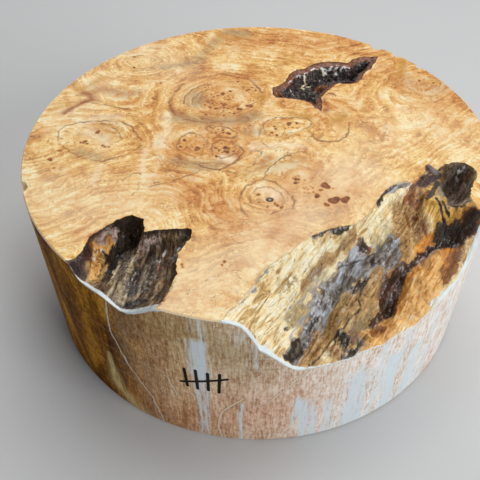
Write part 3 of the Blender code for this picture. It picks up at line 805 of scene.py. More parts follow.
def top_fields(x, y, eyes):
    """The growth lines' level, and how far each point lies outside the eyes and the drawn lines."""
    fields = {}
    warp = 5.0 * noise_at(x / 42, y / 42, 11.0) + 1.6 * noise_at(x / 13, y / 13, 17.0)
    warp_across = 5.0 * noise_at(x / 40, y / 40, 23.0) + 1.6 * noise_at(x / 12, y / 12, 31.0)
    wx, wy = x + warp, y + warp_across
    near = np.zeros(x.shape)
    for cx, cy, half_x, half_y, turn, _ in CLUSTERS:
        c, s = math.cos(math.radians(turn)), math.sin(math.radians(turn))
        along = ((wx - cx) * c + (wy - cy) * s) / half_x
        across = (-(wx - cx) * s + (wy - cy) * c) / half_y
        out = (np.hypot(along, across) - 1) * min(half_x, half_y)
        near = near + np.exp(-out / CLUSTER_BLEND)
    growth = -CLUSTER_BLEND * np.log(near + 1e-9)
    for line, half_width, degrees in FLOWS:
        turn = math.radians(degrees)
        across = wx * math.sin(turn) - wy * math.cos(turn)
        share = soft_mask(distance_to_line(x, y, line), half_width, 1.0)
        across = across + np.average(growth - across, weights=share)
        growth = growth * (1 - share) + across * share
    fields["growth"] = growth
    distance = np.full(x.shape, 4.0)
    for ex, ey, size in eyes:
        close = np.abs(x - ex) + np.abs(y - ey) < 12
        angle = np.arctan2(y[close] - ey, x[close] - ex)
        lumpy = 1 + 0.18 * np.sin(2 * angle + ex) + 0.12 * np.sin(3 * angle + ey)
        found = np.hypot(x[close] - ex, y[close] - ey) - size * lumpy
        distance[close] = np.minimum(distance[close], found)
    fields["eye"] = distance
    jagged_x = x + 0.9 * noise_at(x / 3.5, y / 3.5, 61.0)
    jagged_y = y + 0.9 * noise_at(x / 3.5, y / 3.5, 67.0)
    for name, lines in (("brown_line", BROWN_LINES), ("dark_line", DARK_LINES), ("floor_line", FLOOR_LINES)):
        fields[name] = line_field(jagged_x, jagged_y, lines)
    ex, ey, size = DARK_EYE
    fields["dark_eye"] = np.hypot(x - ex, (y - ey) * 1.15) - size
    return fields


def line_field(x, y, lines):
    """How far each point lies outside the nearest of the lines, each with its own half width."""
    nearest = np.full(x.shape, 3.0)
    for points, half_width in lines:
        low, high = np.min(points, axis=0) - 4, np.max(points, axis=0) + 4
        near = (x > low[0]) & (x < high[0]) & (y > low[1]) & (y < high[1])
        found = distance_to_line(x[near], y[near], points) - half_width
        nearest[near] = np.minimum(nearest[near], found)
    return nearest


def tone_fields(x, y, tones):
    """A soft mask for each tone, the largest of its lines at each point."""
    fields = {}
    wx = x + 1.2 * noise_at(x / 5, y / 5, 51.0)
    wy = y + 1.2 * noise_at(x / 5, y / 5, 57.0)
    for tone, line, half_width, strength in tones:
        mask = soft_mask(distance_to_line(wx, wy, line), half_width, strength)
        fields[tone] = np.maximum(fields.get(tone, 0), mask)
    return fields


def wall_fields(around, z):
    """The fields of the wall, by the distance round it and the height."""
    fields = {}
    for number, crack in enumerate(CRACKS):
        line = sorted(angle_points(crack), key=lambda place: place[1])
        at = np.interp(z, [place[1] for place in line], [place[0] for place in line])
        beyond = np.maximum(line[0][1] - z, 0) + np.maximum(z - line[-1][1], 0)
        offset = around - at
        fields[f"crack_{number}"] = np.clip(offset, -9, 9) + np.minimum(beyond, 9) * 9
    wax = np.zeros(around.shape)
    for angle_low, z_low, angle_high, z_high, half_width, strength in WAX_STREAKS:
        line = angle_points([(angle_low, z_low), (angle_high, z_high)])
        wax = np.maximum(wax, soft_mask(distance_to_line(around, z, line), half_width, strength))
    fields["wax"] = wax
    ink = np.full(around.shape, 4.0)
    for stroke in INK_STROKES:
        ink = np.minimum(ink, distance_to_line(around, z, angle_points(stroke)) - INK_HALF_WIDTH)
    fields["ink"] = ink
    # The golden brown left, which is partly painted shade, the pale right, which is partly painted light, and
    # the soft forms on the front
    degrees = np.degrees(around / RADIUS)
    fields["golden_left_shaded"] = np.clip((-108 - degrees) / 16, 0, 1) * np.clip((degrees + 178) / 20, 0, 1)
    fields["pale_right_lit"] = np.clip((degrees + 106) / 37, 0, 1) * np.clip((160 - degrees) / 30, 0, 1)
    fields["flame"] = soft_mask(distance_to_line(around, z, angle_points(FLAMES)), 6.0, 1.0)
    widening = 0.7 + 3.5 * np.clip((44 - z) / 34, 0, 1)
    fields["sapwood"] = soft_mask(distance_to_line(around, z, angle_points(SAPWOOD)), widening, 1.0)
    fields["blush"] = soft_mask(distance_to_line(around, z, angle_points(BLUSH)), 17.0, 1.0)
    fields["shade"] = soft_mask(distance_to_line(around, z, angle_points(SHADED_WALL)), 13.0, 1.0)
    return fields


def make_top(eyes):
    """The upper surface: points, triangles, their slots, and each point's distance into each hollow."""
    plan, faces = upper_surface(eyes)
    distances = hollow_distances(*plan.T)
    z = HEIGHT - top_depth(*plan.T, distances)
    on_ring = np.hypot(*plan.T) > RADIUS - ON_LINE
    z[on_ring] = np.minimum(z[on_ring], HEIGHT - ARRIS)
    slots = np.zeros(len(faces), int)
    for number, inside in enumerate(hollow_distances(*plan[faces].mean(1).T), start=1):
        slots[inside > 0] = number
    return np.column_stack([plan, z]), faces, slots, distances


def make_wall(rim_angles, rim_heights):
    """The unrolled wall and its triangles. The rim's line ends with its first point again."""
    top_row = np.column_stack([rim_angles * RADIUS, rim_heights])
    low_row = np.column_stack([top_row[:, 0], np.full(len(top_row), ARRIS)])
    left, right = top_row[0, 0], top_row[-1, 0]
    heights = np.arange(ARRIS + SEAM_STEP, rim_heights[0] - 1, SEAM_STEP)
    left_side, right_side = (np.column_stack([np.full(len(heights), x), heights]) for x in (left, right))
    inner = wall_grid(rim_angles, rim_heights)
    inner = inner[(inner[:, 0] > left + SEAM_GAP) & (inner[:, 0] < right - SEAM_GAP)]
    unrolled, faces = triangulate(inner, [np.vstack([low_row, right_side, top_row[::-1], left_side[::-1]])])
    centre = unrolled[faces].mean(1)
    below = centre[:, 1] < np.interp(centre[:, 0], top_row[:, 0], top_row[:, 1])
    return unrolled, faces[below & (centre[:, 1] > ARRIS)]


def make_base(ring_angles):
    """The base inside its arris: its points in plan and its triangles, which face down."""
    grid = hexagon_grid((-RADIUS, -RADIUS), (RADIUS, RADIUS), BASE_STEP)
    grid = grid[np.hypot(*grid.T) < RADIUS - ARRIS - BASE_GAP]
    ring = np.column_stack([np.cos(ring_angles), np.sin(ring_angles)]) * (RADIUS - ARRIS)
    plan, faces = triangulate(grid, [ring])
    return plan, faces[:, ::-1]


def make_blank():
    """The one mesh of the blank: upper surface, wall and base, each with its slots and fields."""
    eyes = eye_list()
    top_points, top_faces, top_slots, distances = make_top(eyes)
    x, y, z = top_points.T
    radial = np.hypot(x, y)
    ring = np.flatnonzero(radial > RADIUS - ON_LINE)
    ring = ring[np.argsort(np.arctan2(y[ring], x[ring]))]
    ring_angles = np.arctan2(y[ring], x[ring])
    count = len(ring)
    rim_angles = np.append(ring_angles, ring_angles[0] + 2 * math.pi)
    rim_heights = np.append(z[ring], z[ring[0]])

    unrolled, wall_faces = make_wall(rim_angles, rim_heights)
    wall_angles = unrolled[:, 0] / RADIUS
    rim_line = np.interp(wall_angles, rim_angles, rim_heights)
    around = RADIUS * np.column_stack([np.cos(wall_angles), np.sin(wall_angles)])
    wall_points = np.column_stack([around, unrolled[:, 1]])
    at_top = np.abs(unrolled[:, 1] - rim_line) < ON_ROW
    nearest = np.rint(np.interp(wall_angles[at_top], rim_angles, np.arange(count + 1))).astype(int) % count
    wall_points[at_top] = top_points[ring[nearest]]

    base_plan, base_faces = make_base(ring_angles)
    base_points = np.column_stack([base_plan, np.zeros(len(base_plan))])
    wall_start = len(top_points)
    base_start = wall_start + len(wall_points)
    points = np.vstack([top_points, wall_points, base_points])
    base_loop = np.flatnonzero(np.hypot(*base_plan.T) > RADIUS - ARRIS - ON_LINE)
    loop_x, loop_y = base_plan[base_loop].T
    base_loop = base_loop[np.argsort(np.arctan2(loop_y, loop_x))] + base_start
    wall_low = np.flatnonzero(np.abs(unrolled[:, 1] - ARRIS) < ON_ROW)
    wall_low = wall_low[np.argsort(unrolled[wall_low, 0])][:count] + wall_start
    base_next, wall_next = np.roll(base_loop, -1), np.roll(wall_low, -1)
    arris_faces = np.vstack([
        np.column_stack([base_loop, base_next, wall_next]),
        np.column_stack([base_loop, wall_next, wall_low]),
    ])
    faces = np.vstack([top_faces, wall_faces + wall_start, base_faces + base_start, arris_faces])
    slots = np.concatenate([
        top_slots,
        np.full(len(wall_faces), WALL_SLOT),
        np.full(len(base_faces), BASE_SLOT),
        np.full(len(arris_faces), WALL_SLOT),
    ])

    fields = {}

    # One field's values for the points from start on, and the default for the others
    def put(name, start, values, default=0.0):
        if name not in fields:
            fields[name] = np.full(len(points), default)
        fields[name][start:start + len(values)] = values

    put("rim", 0, RADIUS - radial, FAR_FROM_RIM)
    put("edge", 0, np.max(distances, axis=0), FAR_OUT)
    put("lip", 0, RADIUS - radial - lip_width(np.arctan2(y, x)), FAR_FROM_RIM)
    for name, values in top_fields(x, y, eyes).items():
        put(name, 0, values)
    masks = {tone: np.zeros(len(x)) for tone in SHADES}
    outside = np.max(distances, axis=0) <= -TONE_OVERLAP
    within = [inside > -TONE_OVERLAP for inside in distances]
    for place, tones in zip(within + [outside], (BITE_TONES, LEFT_TONES, BACK_TONES, STAINS)):
        for tone, values in tone_fields(x[place], y[place], tones).items():
            masks[tone][place] = values
    for tone, values in masks.items():
        put(tone, 0, values)
    for name, values in wall_fields(*unrolled.T).items():
        put(name, wall_start, values, FAR_FROM_LINE if name.startswith("crack") or name == "ink" else 0.0)
    put("below_rim", wall_start, rim_line - unrolled[:, 1] - WALL_LIP * lip_width(wall_angles), FAR_FROM_RIM)
    at_rim = wall_fields(ring_angles * RADIUS, z[ring])
    at_rim["below_rim"] = -WALL_LIP * lip_width(ring_angles)
    for name, values in at_rim.items():
        fields[name][ring] = values
    return weld(points, faces, slots, fields)


def weld(points, faces, slots, fields):
    """Points at the same place made one, and the mesh object made of them."""
    keys = np.round(points / WELD_STEP).astype(np.int64)
    _, first, index = np.unique(keys, axis=0, return_index=True, return_inverse=True)
    index = index.ravel()
    faces = index[faces]
    whole = (faces[:, 0] != faces[:, 1]) & (faces[:, 1] != faces[:, 2]) & (faces[:, 0] != faces[:, 2])
    faces, slots = faces[whole], slots[whole]
    mesh = bpy.data.meshes.new("burl_surface")
    mesh.from_pydata((points[first] * MM).tolist(), [], faces.tolist())
    mesh.polygons.foreach_set("material_index", slots.astype(np.int32))
    for name, values in fields.items():
        attribute = mesh.attributes.new(name, "FLOAT", "POINT")
        attribute.data.foreach_set("value", values[first].astype(np.float32))
    mesh.update()
    blank = bpy.data.objects.new("burl_surface", mesh)
    bpy.context.scene.collection.objects.link(blank)
    return blank


# Materials

def srgb(red, green, blue):
    """A colour given as 0 to 255 on screen, as the linear colour that the shaders take."""
    def linear(value):
        value /= 255
        return value / 12.92 if value <= 0.04045 else ((value + 0.055) / 1.055) ** 2.4

    return (linear(red), linear(green), linear(blue), 1.0)


class Finish:
    """A material whose nodes are added one call at a time. Each call returns the socket that it makes."""

    def __init__(self, name, roughness=0.5, coat=0.0, coat_roughness=0.2, specular=0.5):
        self.material = bpy.data.materials.new(name)
        self.material.use_nodes = True
        self.nodes, self.links = self.material.node_tree.nodes, self.material.node_tree.links
        self.shader = self.nodes["Principled BSDF"]
        self.shader.inputs["Roughness"].default_value = roughness
        self.shader.inputs["Specular IOR Level"].default_value = specular
        self.shader.inputs["Coat Weight"].default_value = coat
        self.shader.inputs["Coat Roughness"].default_value = coat_roughness
        self.place = self.nodes.new("ShaderNodeTexCoord").outputs["Object"]

    def feed(self, socket, value):
        if isinstance(value, bpy.types.NodeSocket):
            self.links.new(value, socket)
        else:
            socket.default_value = value

    def add(self, kind, inputs, output=0, **settings):
        """A new node with its settings and what goes into its inputs. It gives the socket of the output."""
        node = self.nodes.new("ShaderNode" + kind)
        for name, value in settings.items():
            setattr(node, name, value)
        for socket, value in inputs.items():
            self.feed(node.inputs[socket], value)
        return node.outputs[output]

    def field(self, name):
        return self.add("Attribute", {}, "Fac", attribute_name=name)

    def math(self, operation, first, second=0.0):
        return self.add("Math", {0: first, 1: second}, operation=operation)

    def times(self, first, second):
        return self.math("MULTIPLY", first, second)

    def plus(self, first, second):
        return self.math("ADD", first, second)

    def total(self, *parts):
        """The sum of the parts, each given with its weight."""
        found = self.times(*parts[0])
        for part, weight in parts[1:]:
            found = self.plus(found, self.times(part, weight))
        return found

    def sway(self, value, reach):
        """Noise, which is 0.5 in the middle, brought to 0 there and spread by the reach."""
        return self.times(self.math("SUBTRACT", value, 0.5), reach)

    def crease(self, value):
        """How far noise is from its middle, so 0 along thin winding lines."""
        return self.math("ABSOLUTE", self.math("SUBTRACT", value, 0.5))

    def between(self, value, low, high, out_low=0.0, out_high=1.0):
        """The value as a smooth share of the way from low to high."""
        inputs = {"Value": value, "From Min": low, "From Max": high, "To Min": out_low, "To Max": out_high}
        return self.add("MapRange", inputs, "Result", interpolation_type="SMOOTHSTEP")

    def vector(self, x, y, z):
        return self.add("CombineXYZ", {0: x, 1: y, 2: z})

    def stretched(self, x, y, z, turn=0.0):
        """Object coordinates multiplied along each axis, after a turn about Z in degrees."""
        turned = (0, 0, math.radians(turn))
        inputs = {"Vector": self.place, "Rotation": turned, "Scale": (1 / x, 1 / y, 1 / z)}
        return self.add("Mapping", inputs, vector_type="TEXTURE")

    def noise(self, vector, scale, detail=3.0, roughness=0.55, distortion=0.0):
        inputs = {"Vector": vector, "Scale": scale, "Detail": detail}
        inputs.update({"Roughness": roughness, "Distortion": distortion})
        return self.add("TexNoise", inputs, "Fac")

    def ramp(self, value, stops):
        """The value as a colour. Each stop is a place and a colour on screen."""
        node = self.nodes.new("ShaderNodeValToRGB")
        elements = node.color_ramp.elements
        while len(elements) < len(stops):
            elements.new(0.5)
        for element, (place, *colour) in zip(elements, stops):
            element.position = place
            element.color = srgb(*colour)
        self.feed(node.inputs[0], value)
        return node.outputs["Color"]

    def mix(self, share, first, second, blend="MIX"):
        """The first colour with the second over it. The second is a socket or a colour on screen."""
        inputs = {"Factor": share, 6: first, 7: srgb(*second) if isinstance(second, tuple) else second}
        return self.add("Mix", inputs, 2, data_type="RGBA", blend_type=blend)

    def finish(self, colour, roughness=None, height=None, bump_distance=0.0003, strength=0.6):
        self.feed(self.shader.inputs["Base Color"], colour)
        if roughness is not None:
            self.feed(self.shader.inputs["Roughness"], roughness)
        if height is not None:
            bump = self.nodes.new("ShaderNodeBump")
            bump.inputs["Strength"].default_value = strength
            bump.inputs["Distance"].default_value = bump_distance
            self.feed(bump.inputs["Height"], height)
            self.links.new(bump.outputs[0], self.shader.inputs["Normal"])
        return self.material


def top_material():
    """The sanded top: curly fibres, thin growth lines round the clusters, eyes, stains, and a painted
    highlight along the arris at the rim.
    """
    f = Finish("sanded_burl", roughness=0.46, specular=0.35)
    growth = f.field("growth")
    x, y = (f.add("SeparateXYZ", {0: f.place}, axis) for axis in (0, 1))
    swirl = f.noise(f.place, 34, 3.0, 0.6, 1.4)
    curl = f.noise(f.place, 130, 4.0, 0.66, 2.8)
    fibre = f.noise(f.place, 420, 3.0, 0.65, 2.0)
    flow = f.plus(growth, f.total((curl, 5.0), (fibre, 1.2)))

    def flow_place(across, along):
        """A place for noise that follows the growth lines."""
        return f.vector(f.times(flow, across), f.times(x, along), f.times(y, along))

    streaks = f.noise(flow_place(0.6, 45), 1.0, 4.0, 0.65)
    tone = f.total((streaks, 0.36), (curl, 0.22), (swirl, 0.3), (fibre, 0.12))
    base = f.ramp(tone, (
        (0.39, 156, 90, 30),
        (0.44, 208, 144, 70),
        (0.485, 236, 184, 100),
        (0.525, 250, 214, 142),
        (0.58, 255, 244, 202),
    ))
    base = f.mix(f.times(f.field("cream"), 0.6), base, (253, 232, 194))
    base = f.mix(f.times(f.field("amber"), 0.5), base, (216, 154, 82), "MULTIPLY")
    patches = f.between(f.noise(f.place, 60, 3.0, 0.6, 1.0), 0.44, 0.66, 0.0, 0.4)
    base = f.mix(patches, base, (226, 174, 118), "MULTIPLY")

    ridge = f.crease(f.noise(flow_place(0.5, 30), 1.0, 2.0, 0.5))
    lines = f.times(f.between(ridge, 0.0, 0.018, 0.9, 0.0), f.between(growth, 0.0, 20.0, 0.9, 0.2))
    patchy = f.between(f.noise(f.place, 55, 2.0), 0.38, 0.62)
    base = f.mix(f.times(lines, patchy), base, (146, 88, 40))
    loose = f.between(f.crease(f.noise(f.place, 48, 3.0, 0.5, 2.2)), 0.0, 0.008, 0.6, 0.0)
    loose = f.times(loose, f.between(f.noise(f.place, 38, 2.0), 0.5, 0.6))
    base = f.mix(loose, base, (132, 86, 46))

    base = f.mix(f.times(f.field("light"), 0.85), base, (255, 240, 208))
    base = f.mix(f.field("gold"), base, (196, 134, 28))
    base = f.mix(f.field("grey"), base, (150, 126, 96))
    base = f.mix(f.field("rust"), base, (160, 82, 34))
    faint = f.between(f.noise(f.place, 70, 3.0), 0.36, 0.6, 0.15, 1.0)
    brown_line = f.times(f.between(f.field("brown_line"), -0.3, 0.7, 0.8, 0.0), faint)
    base = f.mix(brown_line, base, (134, 78, 36))
    dark_line = f.times(f.between(f.field("dark_line"), -0.3, 0.4, 0.95, 0.0), faint)
    base = f.mix(dark_line, base, (84, 72, 54))
    eye = f.field("eye")
    base = f.mix(f.between(eye, 0.3, 1.6, 0.25, 0.0), base, (250, 208, 132))
    base = f.mix(f.between(eye, -0.1, 0.8, 0.6, 0.0), base, (204, 132, 62))
    eye_tone = f.ramp(f.noise(f.place, 420, 2.0), ((0.35, 92, 42, 12), (0.65, 168, 96, 42)))
    base = f.mix(f.between(eye, -0.4, 0.15, 0.97, 0.0), base, eye_tone)
    dark_eye = f.field("dark_eye")
    base = f.mix(f.between(dark_eye, -0.2, 0.5, 0.95, 0.0), base, (44, 40, 44))
    base = f.mix(f.between(dark_eye, -1.5, -1.0, 0.9, 0.0), base, (196, 176, 140))
    # Painted highlight: the pale band along the arris at the rim is the light that the edge catches
    base = f.mix(f.between(f.field("rim"), 0.2, 0.9, 0.6, 0.0), base, (252, 230, 192))
    height = f.plus(f.times(fibre, 0.5), f.between(eye, -0.3, 0.4))
    roughness = f.between(tone, 0.42, 0.58, 0.54, 0.4)
    return f.finish(base, roughness, height, 0.00012, 0.5)


# A dark, a middle and a light shade for each tone of the floors
SHADES = {
    "cream": ((224, 192, 134), (252, 234, 186), (255, 252, 234)),
    "olive": ((96, 76, 46), (148, 126, 86), (204, 188, 148)),
    "gold": ((112, 76, 36), (166, 126, 78), (224, 186, 122)),
    "amber": ((184, 112, 42), (228, 168, 92), (252, 214, 144)),
    "burnt": ((156, 82, 18), (214, 130, 38), (248, 190, 94)),
    "yellow": ((180, 118, 32), (228, 174, 76), (250, 218, 132)),
    "grey": ((50, 40, 32), (110, 100, 92), (184, 192, 202)),
    "stone": ((44, 34, 28), (98, 82, 66), (180, 168, 150)),
    "lilac": ((98, 74, 68), (162, 134, 122), (222, 206, 194)),
    "rust": ((66, 32, 12), (112, 62, 26), (176, 112, 58)),
    "purple": ((16, 8, 8), (42, 20, 18), (96, 52, 44)),
    "dark": ((12, 9, 8), (32, 23, 18), (76, 58, 44)),
    # The light tone is painted glints: near-white highlights laid into the floors' colour
    "light": ((186, 186, 180), (226, 228, 226), (255, 255, 252)),
}
WAX_WHITE = (228, 238, 240)
# How far the bump of a floor reaches, in metres
FLOOR_BUMP = 0.0011


def lay_tones(f, colour, tones, streaks, broken):
    """The colour with each tone laid over it. The streaks and the grain feather its borders and shade it."""
    ragged = f.plus(f.sway(streaks, 1.8), f.sway(broken, 1.4))
    shading = f.total((streaks, 0.45), (broken, 0.55))
    for tone in tones:
        dark, middle, light = SHADES[tone]
        shade = f.ramp(shading, ((0.4, *dark), (0.49, *middle), (0.6, *light)))
        share = f.between(f.plus(f.field(tone), ragged), 0.3, 0.64, 0.0, 0.97)
        colour = f.mix(share, colour, shade)
    return colour


def lay_lip(f, colour, broken):
    """The colour with the white wax over the strip at the rim."""
    edge = f.plus(f.field("lip"), f.sway(broken, 1.6))
    return f.mix(f.between(edge, -0.2, 0.25, 0.96, 0.0), colour, WAX_WHITE)


def bite_material():
    """The bite's floor: cream and golden fibres that run to the front, and stains and bark on them, with
    painted glints, a painted highlight along the crevice and painted shade in the deep hole.
    """
    f = Finish("bite_floor", coat_roughness=0.12, specular=0.35)
    streaks = f.noise(f.stretched(34, 300, 130, 56), 1.0, 5.0, 0.64, 1.2)
    broken = f.noise(f.place, 400, 5.0, 0.75)
    clouds = f.noise(f.place, 130, 5.0, 0.62, 0.6)
    colour = f.ramp(streaks, (
        (0.34, 150, 112, 62),
        (0.43, 216, 178, 118),
        (0.51, 247, 224, 170),
        (0.6, 255, 249, 222),
    ))
    colour = lay_tones(f, colour, ("olive", "cream", "gold", "amber", "burnt", "yellow"), streaks, broken)
    colour = lay_tones(f, colour, ("grey",), streaks, clouds)
    # The light tone is painted glints, the lilac by the crevice a painted highlight, and the dark in the deep
    # hole partly painted shade
    colour = lay_tones(f, colour, ("stone", "rust", "purple", "lilac", "dark", "light"), streaks, broken)
    threads = f.noise(f.stretched(70, 1100, 300, 56), 1.0, 3.0, 0.65, 0.5)
    colour = f.mix(f.between(threads, 0.34, 0.5, 0.35, 0.0), colour, (140, 104, 72), "MULTIPLY")
    pits = f.between(f.noise(f.place, 620, 2.0, 0.6), 0.635, 0.67)
    pits = f.times(pits, f.between(f.field("gold"), 0.3, 0.8, 0.0, 0.9))
    colour = f.mix(pits, colour, (52, 32, 18))
    rifts = f.crease(f.noise(f.stretched(30, 240, 90, 56), 1.0, 3.0, 0.6, 0.8))
    rifts = f.times(f.between(rifts, 0.0, 0.012, 0.8, 0.0), f.between(broken, 0.45, 0.55))
    colour = f.mix(rifts, colour, (60, 36, 18))
    colour = f.mix(f.between(f.field("floor_line"), -0.2, 0.35, 0.95, 0.0), colour, (34, 20, 12))
    colour = f.mix(f.between(f.field("edge"), 0.0, 0.8, 0.45, 0.0), colour, (156, 112, 62))
    colour = lay_lip(f, colour, broken)
    gloss = f.math("MAXIMUM", f.math("MAXIMUM", f.field("grey"), f.field("purple")), f.field("dark"))
    gloss = f.between(gloss, 0.2, 0.8)
    f.feed(f.shader.inputs["Coat Weight"], f.times(gloss, 0.6))
    height = f.plus(f.times(streaks, 0.8), f.times(clouds, gloss))
    height = f.plus(height, f.times(broken, f.plus(f.times(gloss, 0.35), 0.3)))
    return f.finish(colour, f.between(gloss, 0.0, 1.0, 0.45, 0.2), height, FLOOR_BUMP, 0.6)


def left_material():
    """The left pocket's floor: dark bark with a grey right lobe and a golden left bank, with painted glints
    and painted shade on the steep back wall.
    """
    f = Finish("left_pocket_floor", coat=0.45, coat_roughness=0.12, specular=0.35)
    streaks = f.noise(f.stretched(60, 480, 160, 80), 1.0, 5.0, 0.66, 0.8)
    broken = f.noise(f.place, 420, 5.0, 0.75)
    colour = f.ramp(streaks, (
        (0.36, 38, 26, 18),
        (0.46, 88, 66, 46),
        (0.55, 136, 108, 78),
        (0.66, 204, 176, 134),
    ))
    # The light tone in this order is painted glints, and the dark on the steep back wall is partly painted
    # shade
    order = ("stone", "dark", "olive", "gold", "amber", "cream", "lilac", "rust", "purple", "light")
    colour = lay_tones(f, colour, order, streaks, broken)
    edge = f.plus(f.field("edge"), f.times(broken, 1.6))
    colour = f.mix(f.between(edge, 1.0, 1.9, 0.85, 0.0), colour, (50, 34, 24))
    colour = lay_lip(f, colour, broken)
    height = f.plus(streaks, f.times(broken, 0.9))
    return f.finish(colour, f.between(broken, 0.35, 0.7, 0.16, 0.45), height, FLOOR_BUMP, 0.7)


def back_material():
    """The back pocket's floor: black grains inside a brown band of bark, with painted glints along its edge.
    """
    f = Finish("back_pocket_floor", coat=0.4, coat_roughness=0.12, specular=0.35)
    grains = f.noise(f.place, 520, 5.0, 0.75)
    broken = f.noise(f.place, 300, 3.0, 0.6)
    colour = f.ramp(grains, ((0.4, 22, 16, 16), (0.52, 60, 48, 44), (0.64, 128, 108, 100)))
    band = f.plus(f.field("edge"), f.times(broken, 2.0))
    bark = f.ramp(grains, ((0.38, 84, 40, 20), (0.62, 156, 94, 56)))
    colour = f.mix(f.between(band, 3.9, 4.7, 0.94, 0.0), colour, bark)
    # The light tone here is painted glints along the pocket's edge
    colour = lay_tones(f, colour, ("rust", "cream", "light"), broken, grains)
    height = f.plus(grains, f.times(broken, 0.8))
    return f.finish(colour, f.between(broken, 0.35, 0.7, 0.18, 0.5), height, FLOOR_BUMP, 0.7)


def wall_material():
    """The turned wall: fine grain, a golden brown left side that is partly painted shade, a pale right side
    that is partly painted light, wax, cracks and ink.
    """
    f = Finish("sawn_wall", roughness=0.7, specular=0.06)
    upright = f.noise(f.stretched(70, 70, 24), 1.0, 4.0, 0.6, 0.8)
    threads = f.noise(f.stretched(900, 900, 110), 1.0, 3.0, 0.65, 0.5)
    flecks = f.noise(f.stretched(620, 620, 380), 1.0, 3.0, 0.7, 0.6)
    grain = f.total((upright, 0.26), (threads, 0.4), (flecks, 0.34))
    colour = f.ramp(grain, (
        (0.40, 166, 120, 80),
        (0.46, 200, 158, 114),
        (0.52, 224, 188, 146),
        (0.60, 250, 228, 196),
    ))
    # Painted light: the right side is paler partly by its own wood and wax and partly as painted light from
    # the right
    pale_right_lit = f.ramp(grain, ((0.40, 204, 166, 138), (0.465, 233, 213, 196), (0.55, 253, 249, 244)))
    colour = f.mix(f.field("pale_right_lit"), colour, pale_right_lit)
    # Painted shade: the left side's dark golden brown is partly its own colour and partly painted shade
    figure = f.noise(f.stretched(80, 80, 18), 1.0, 3.0, 0.6, 0.8)
    golden_left_shaded = f.total((figure, 0.6), (flecks, 0.4))
    golden_left_shaded = f.ramp(golden_left_shaded, ((0.38, 78, 38, 0), (0.5, 140, 88, 8), (0.61, 214, 152, 40)))
    colour = f.mix(f.field("golden_left_shaded"), colour, golden_left_shaded)
    flame = f.between(f.noise(f.stretched(60, 60, 16), 1.0, 3.0), 0.42, 0.58)
    colour = f.mix(f.times(f.field("flame"), flame), colour, (92, 40, 6))
    sapwood = f.times(f.field("sapwood"), f.between(threads, 0.34, 0.56, 0.25, 0.9))
    colour = f.mix(sapwood, colour, (250, 234, 170))
    colour = f.mix(f.times(f.field("shade"), 0.7), colour, (200, 198, 170), "MULTIPLY")
    colour = f.mix(f.times(f.field("blush"), 0.45), colour, (244, 196, 170), "MULTIPLY")
    across = f.noise(f.stretched(24, 24, 420), 1.0, 4.0, 0.65, 0.8)
    colour = f.mix(f.between(across, 0.54, 0.7, 0.0, 0.25), colour, (180, 140, 105), "MULTIPLY")

    feather = f.noise(f.stretched(420, 420, 22), 1.0, 5.0, 0.7, 0.3)
    uneven = f.plus(f.sway(feather, 3.0), f.sway(threads, 1.0))
    uneven = f.times(uneven, f.between(f.field("wax"), 0.03, 0.3))
    wax = f.between(f.plus(f.field("wax"), uneven), 0.2, 1.0, 0.0, 0.9)
    colour = f.mix(wax, colour, (222, 236, 242))
    edge = f.plus(f.field("below_rim"), f.sway(feather, 1.5))
    colour = f.mix(f.between(edge, -0.1, 0.5, 0.95, 0.0), colour, WAX_WHITE)
    wander = f.sway(f.noise(f.place, 240, 3.0), 3.0)
    for number in range(len(CRACKS)):
        offset = f.math("ABSOLUTE", f.plus(f.field(f"crack_{number}"), wander))
        colour = f.mix(f.between(offset, 0.8, 1.6, 0.45, 0.0), colour, (190, 150, 120), "MULTIPLY")
        colour = f.mix(f.between(offset, 0.3, 0.8, 0.9, 0.0), colour, (232, 220, 196))
    colour = f.mix(f.between(f.field("ink"), -0.2, 0.2, 0.98, 0.0), colour, (10, 10, 12))
    height = f.plus(flecks, f.times(wax, 0.3))
    return f.finish(colour, f.between(wax, 0.0, 1.0, 0.7, 0.5), height, 0.0002, 0.4)


def base_material():
    """The sawn base, with the fine straight marks of a saw."""
    f = Finish("sawn_base", roughness=0.6)
    across = f.noise(f.stretched(12, 700, 1, 12), 1.0, 3.0, 0.6)
    broad = f.noise(f.place, 22, 4.0, 0.6, 1.2)
    colour = f.ramp(broad, ((0.3, 196, 146, 98), (0.5, 222, 178, 128), (0.7, 240, 206, 160)))
    colour = f.mix(f.between(across, 0.45, 0.6, 0.0, 0.35), colour, (166, 118, 74))
    return f.finish(colour, None, across, 0.0003, 0.5)


# Studio

def make_floor():
    bpy.ops.mesh.primitive_plane_add(size=FLOOR_SIZE, location=(0, 0, -FLOOR_DROP))
    floor = bpy.context.object
    floor.name = "studio_floor"
    f = Finish("studio_floor", roughness=0.8)
    floor.data.materials.append(f.finish(srgb(206, 207, 208)))


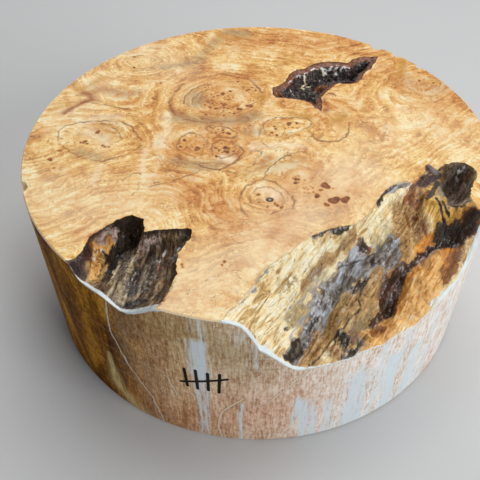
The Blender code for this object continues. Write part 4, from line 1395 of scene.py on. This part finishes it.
def area_light(name, place, target, size, power, colour):
    light = bpy.data.lights.new(name, "AREA")
    light.shape = "RECTANGLE"
    light.size, light.size_y = size
    light.energy = power
    light.color = colour
    lamp = bpy.data.objects.new(name, light)
    lamp.location = place
    lamp.rotation_euler = (Vector(target) - Vector(place)).to_track_quat("-Z", "Y").to_euler()
    bpy.context.scene.collection.objects.link(lamp)


def make_lights():
    """Soft light from the right, from above, and from high at the back for the gloss of the bark."""
    middle = (0, 0, 0.06)
    area_light("right_light", (0.95, -0.85, 0.72), middle, (0.8, 0.6), 10.5, (0.98, 0.99, 1.0))
    area_light("top_light", (0.25, 0.35, 1.35), middle, (1.1, 0.9), 11.0, (1.0, 0.985, 0.96))
    area_light("back_light", (-0.1, 1.2, 1.05), middle, (1.2, 0.35), 4.0, (1.0, 1.0, 1.0))
    world = bpy.data.worlds.new("soft_room")
    world.use_nodes = True
    world.node_tree.nodes["Background"].inputs["Color"].default_value = (0.92, 0.95, 1.0, 1.0)
    world.node_tree.nodes["Background"].inputs["Strength"].default_value = 0.15
    bpy.context.scene.world = world
    bpy.context.scene.view_settings.view_transform = "Standard"


def make_camera():
    yaw, pitch, roll = (math.radians(value) for value in (CAMERA_YAW, CAMERA_PITCH, CAMERA_ROLL))
    forward = Vector((math.sin(yaw) * math.cos(pitch), math.cos(yaw) * math.cos(pitch), math.sin(pitch)))
    level = Vector((math.cos(yaw), -math.sin(yaw), 0))
    upright = level.cross(forward)
    right = math.cos(roll) * level + math.sin(roll) * upright
    up = math.cos(roll) * upright - math.sin(roll) * level
    data = bpy.data.cameras.new("photo_camera")
    data.sensor_width = SENSOR
    data.lens = FOCAL_PIXELS / IMAGE_PIXELS * SENSOR
    camera = bpy.data.objects.new("photo_camera", data)
    matrix = Matrix((right, up, -forward)).transposed().to_4x4()
    matrix.translation = Vector((0, -CAMERA_BACK * RADIUS, CAMERA_UP * RADIUS)) * MM
    camera.matrix_world = matrix
    bpy.context.scene.collection.objects.link(camera)
    bpy.context.scene.camera = camera


make_camera()
make_lights()
make_floor()
blank = make_blank()
makers = (top_material, bite_material, left_material, back_material, wall_material, base_material)
for make_material in makers:
    blank.data.materials.append(make_material())
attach(blank, "root")
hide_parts("burl_blank")
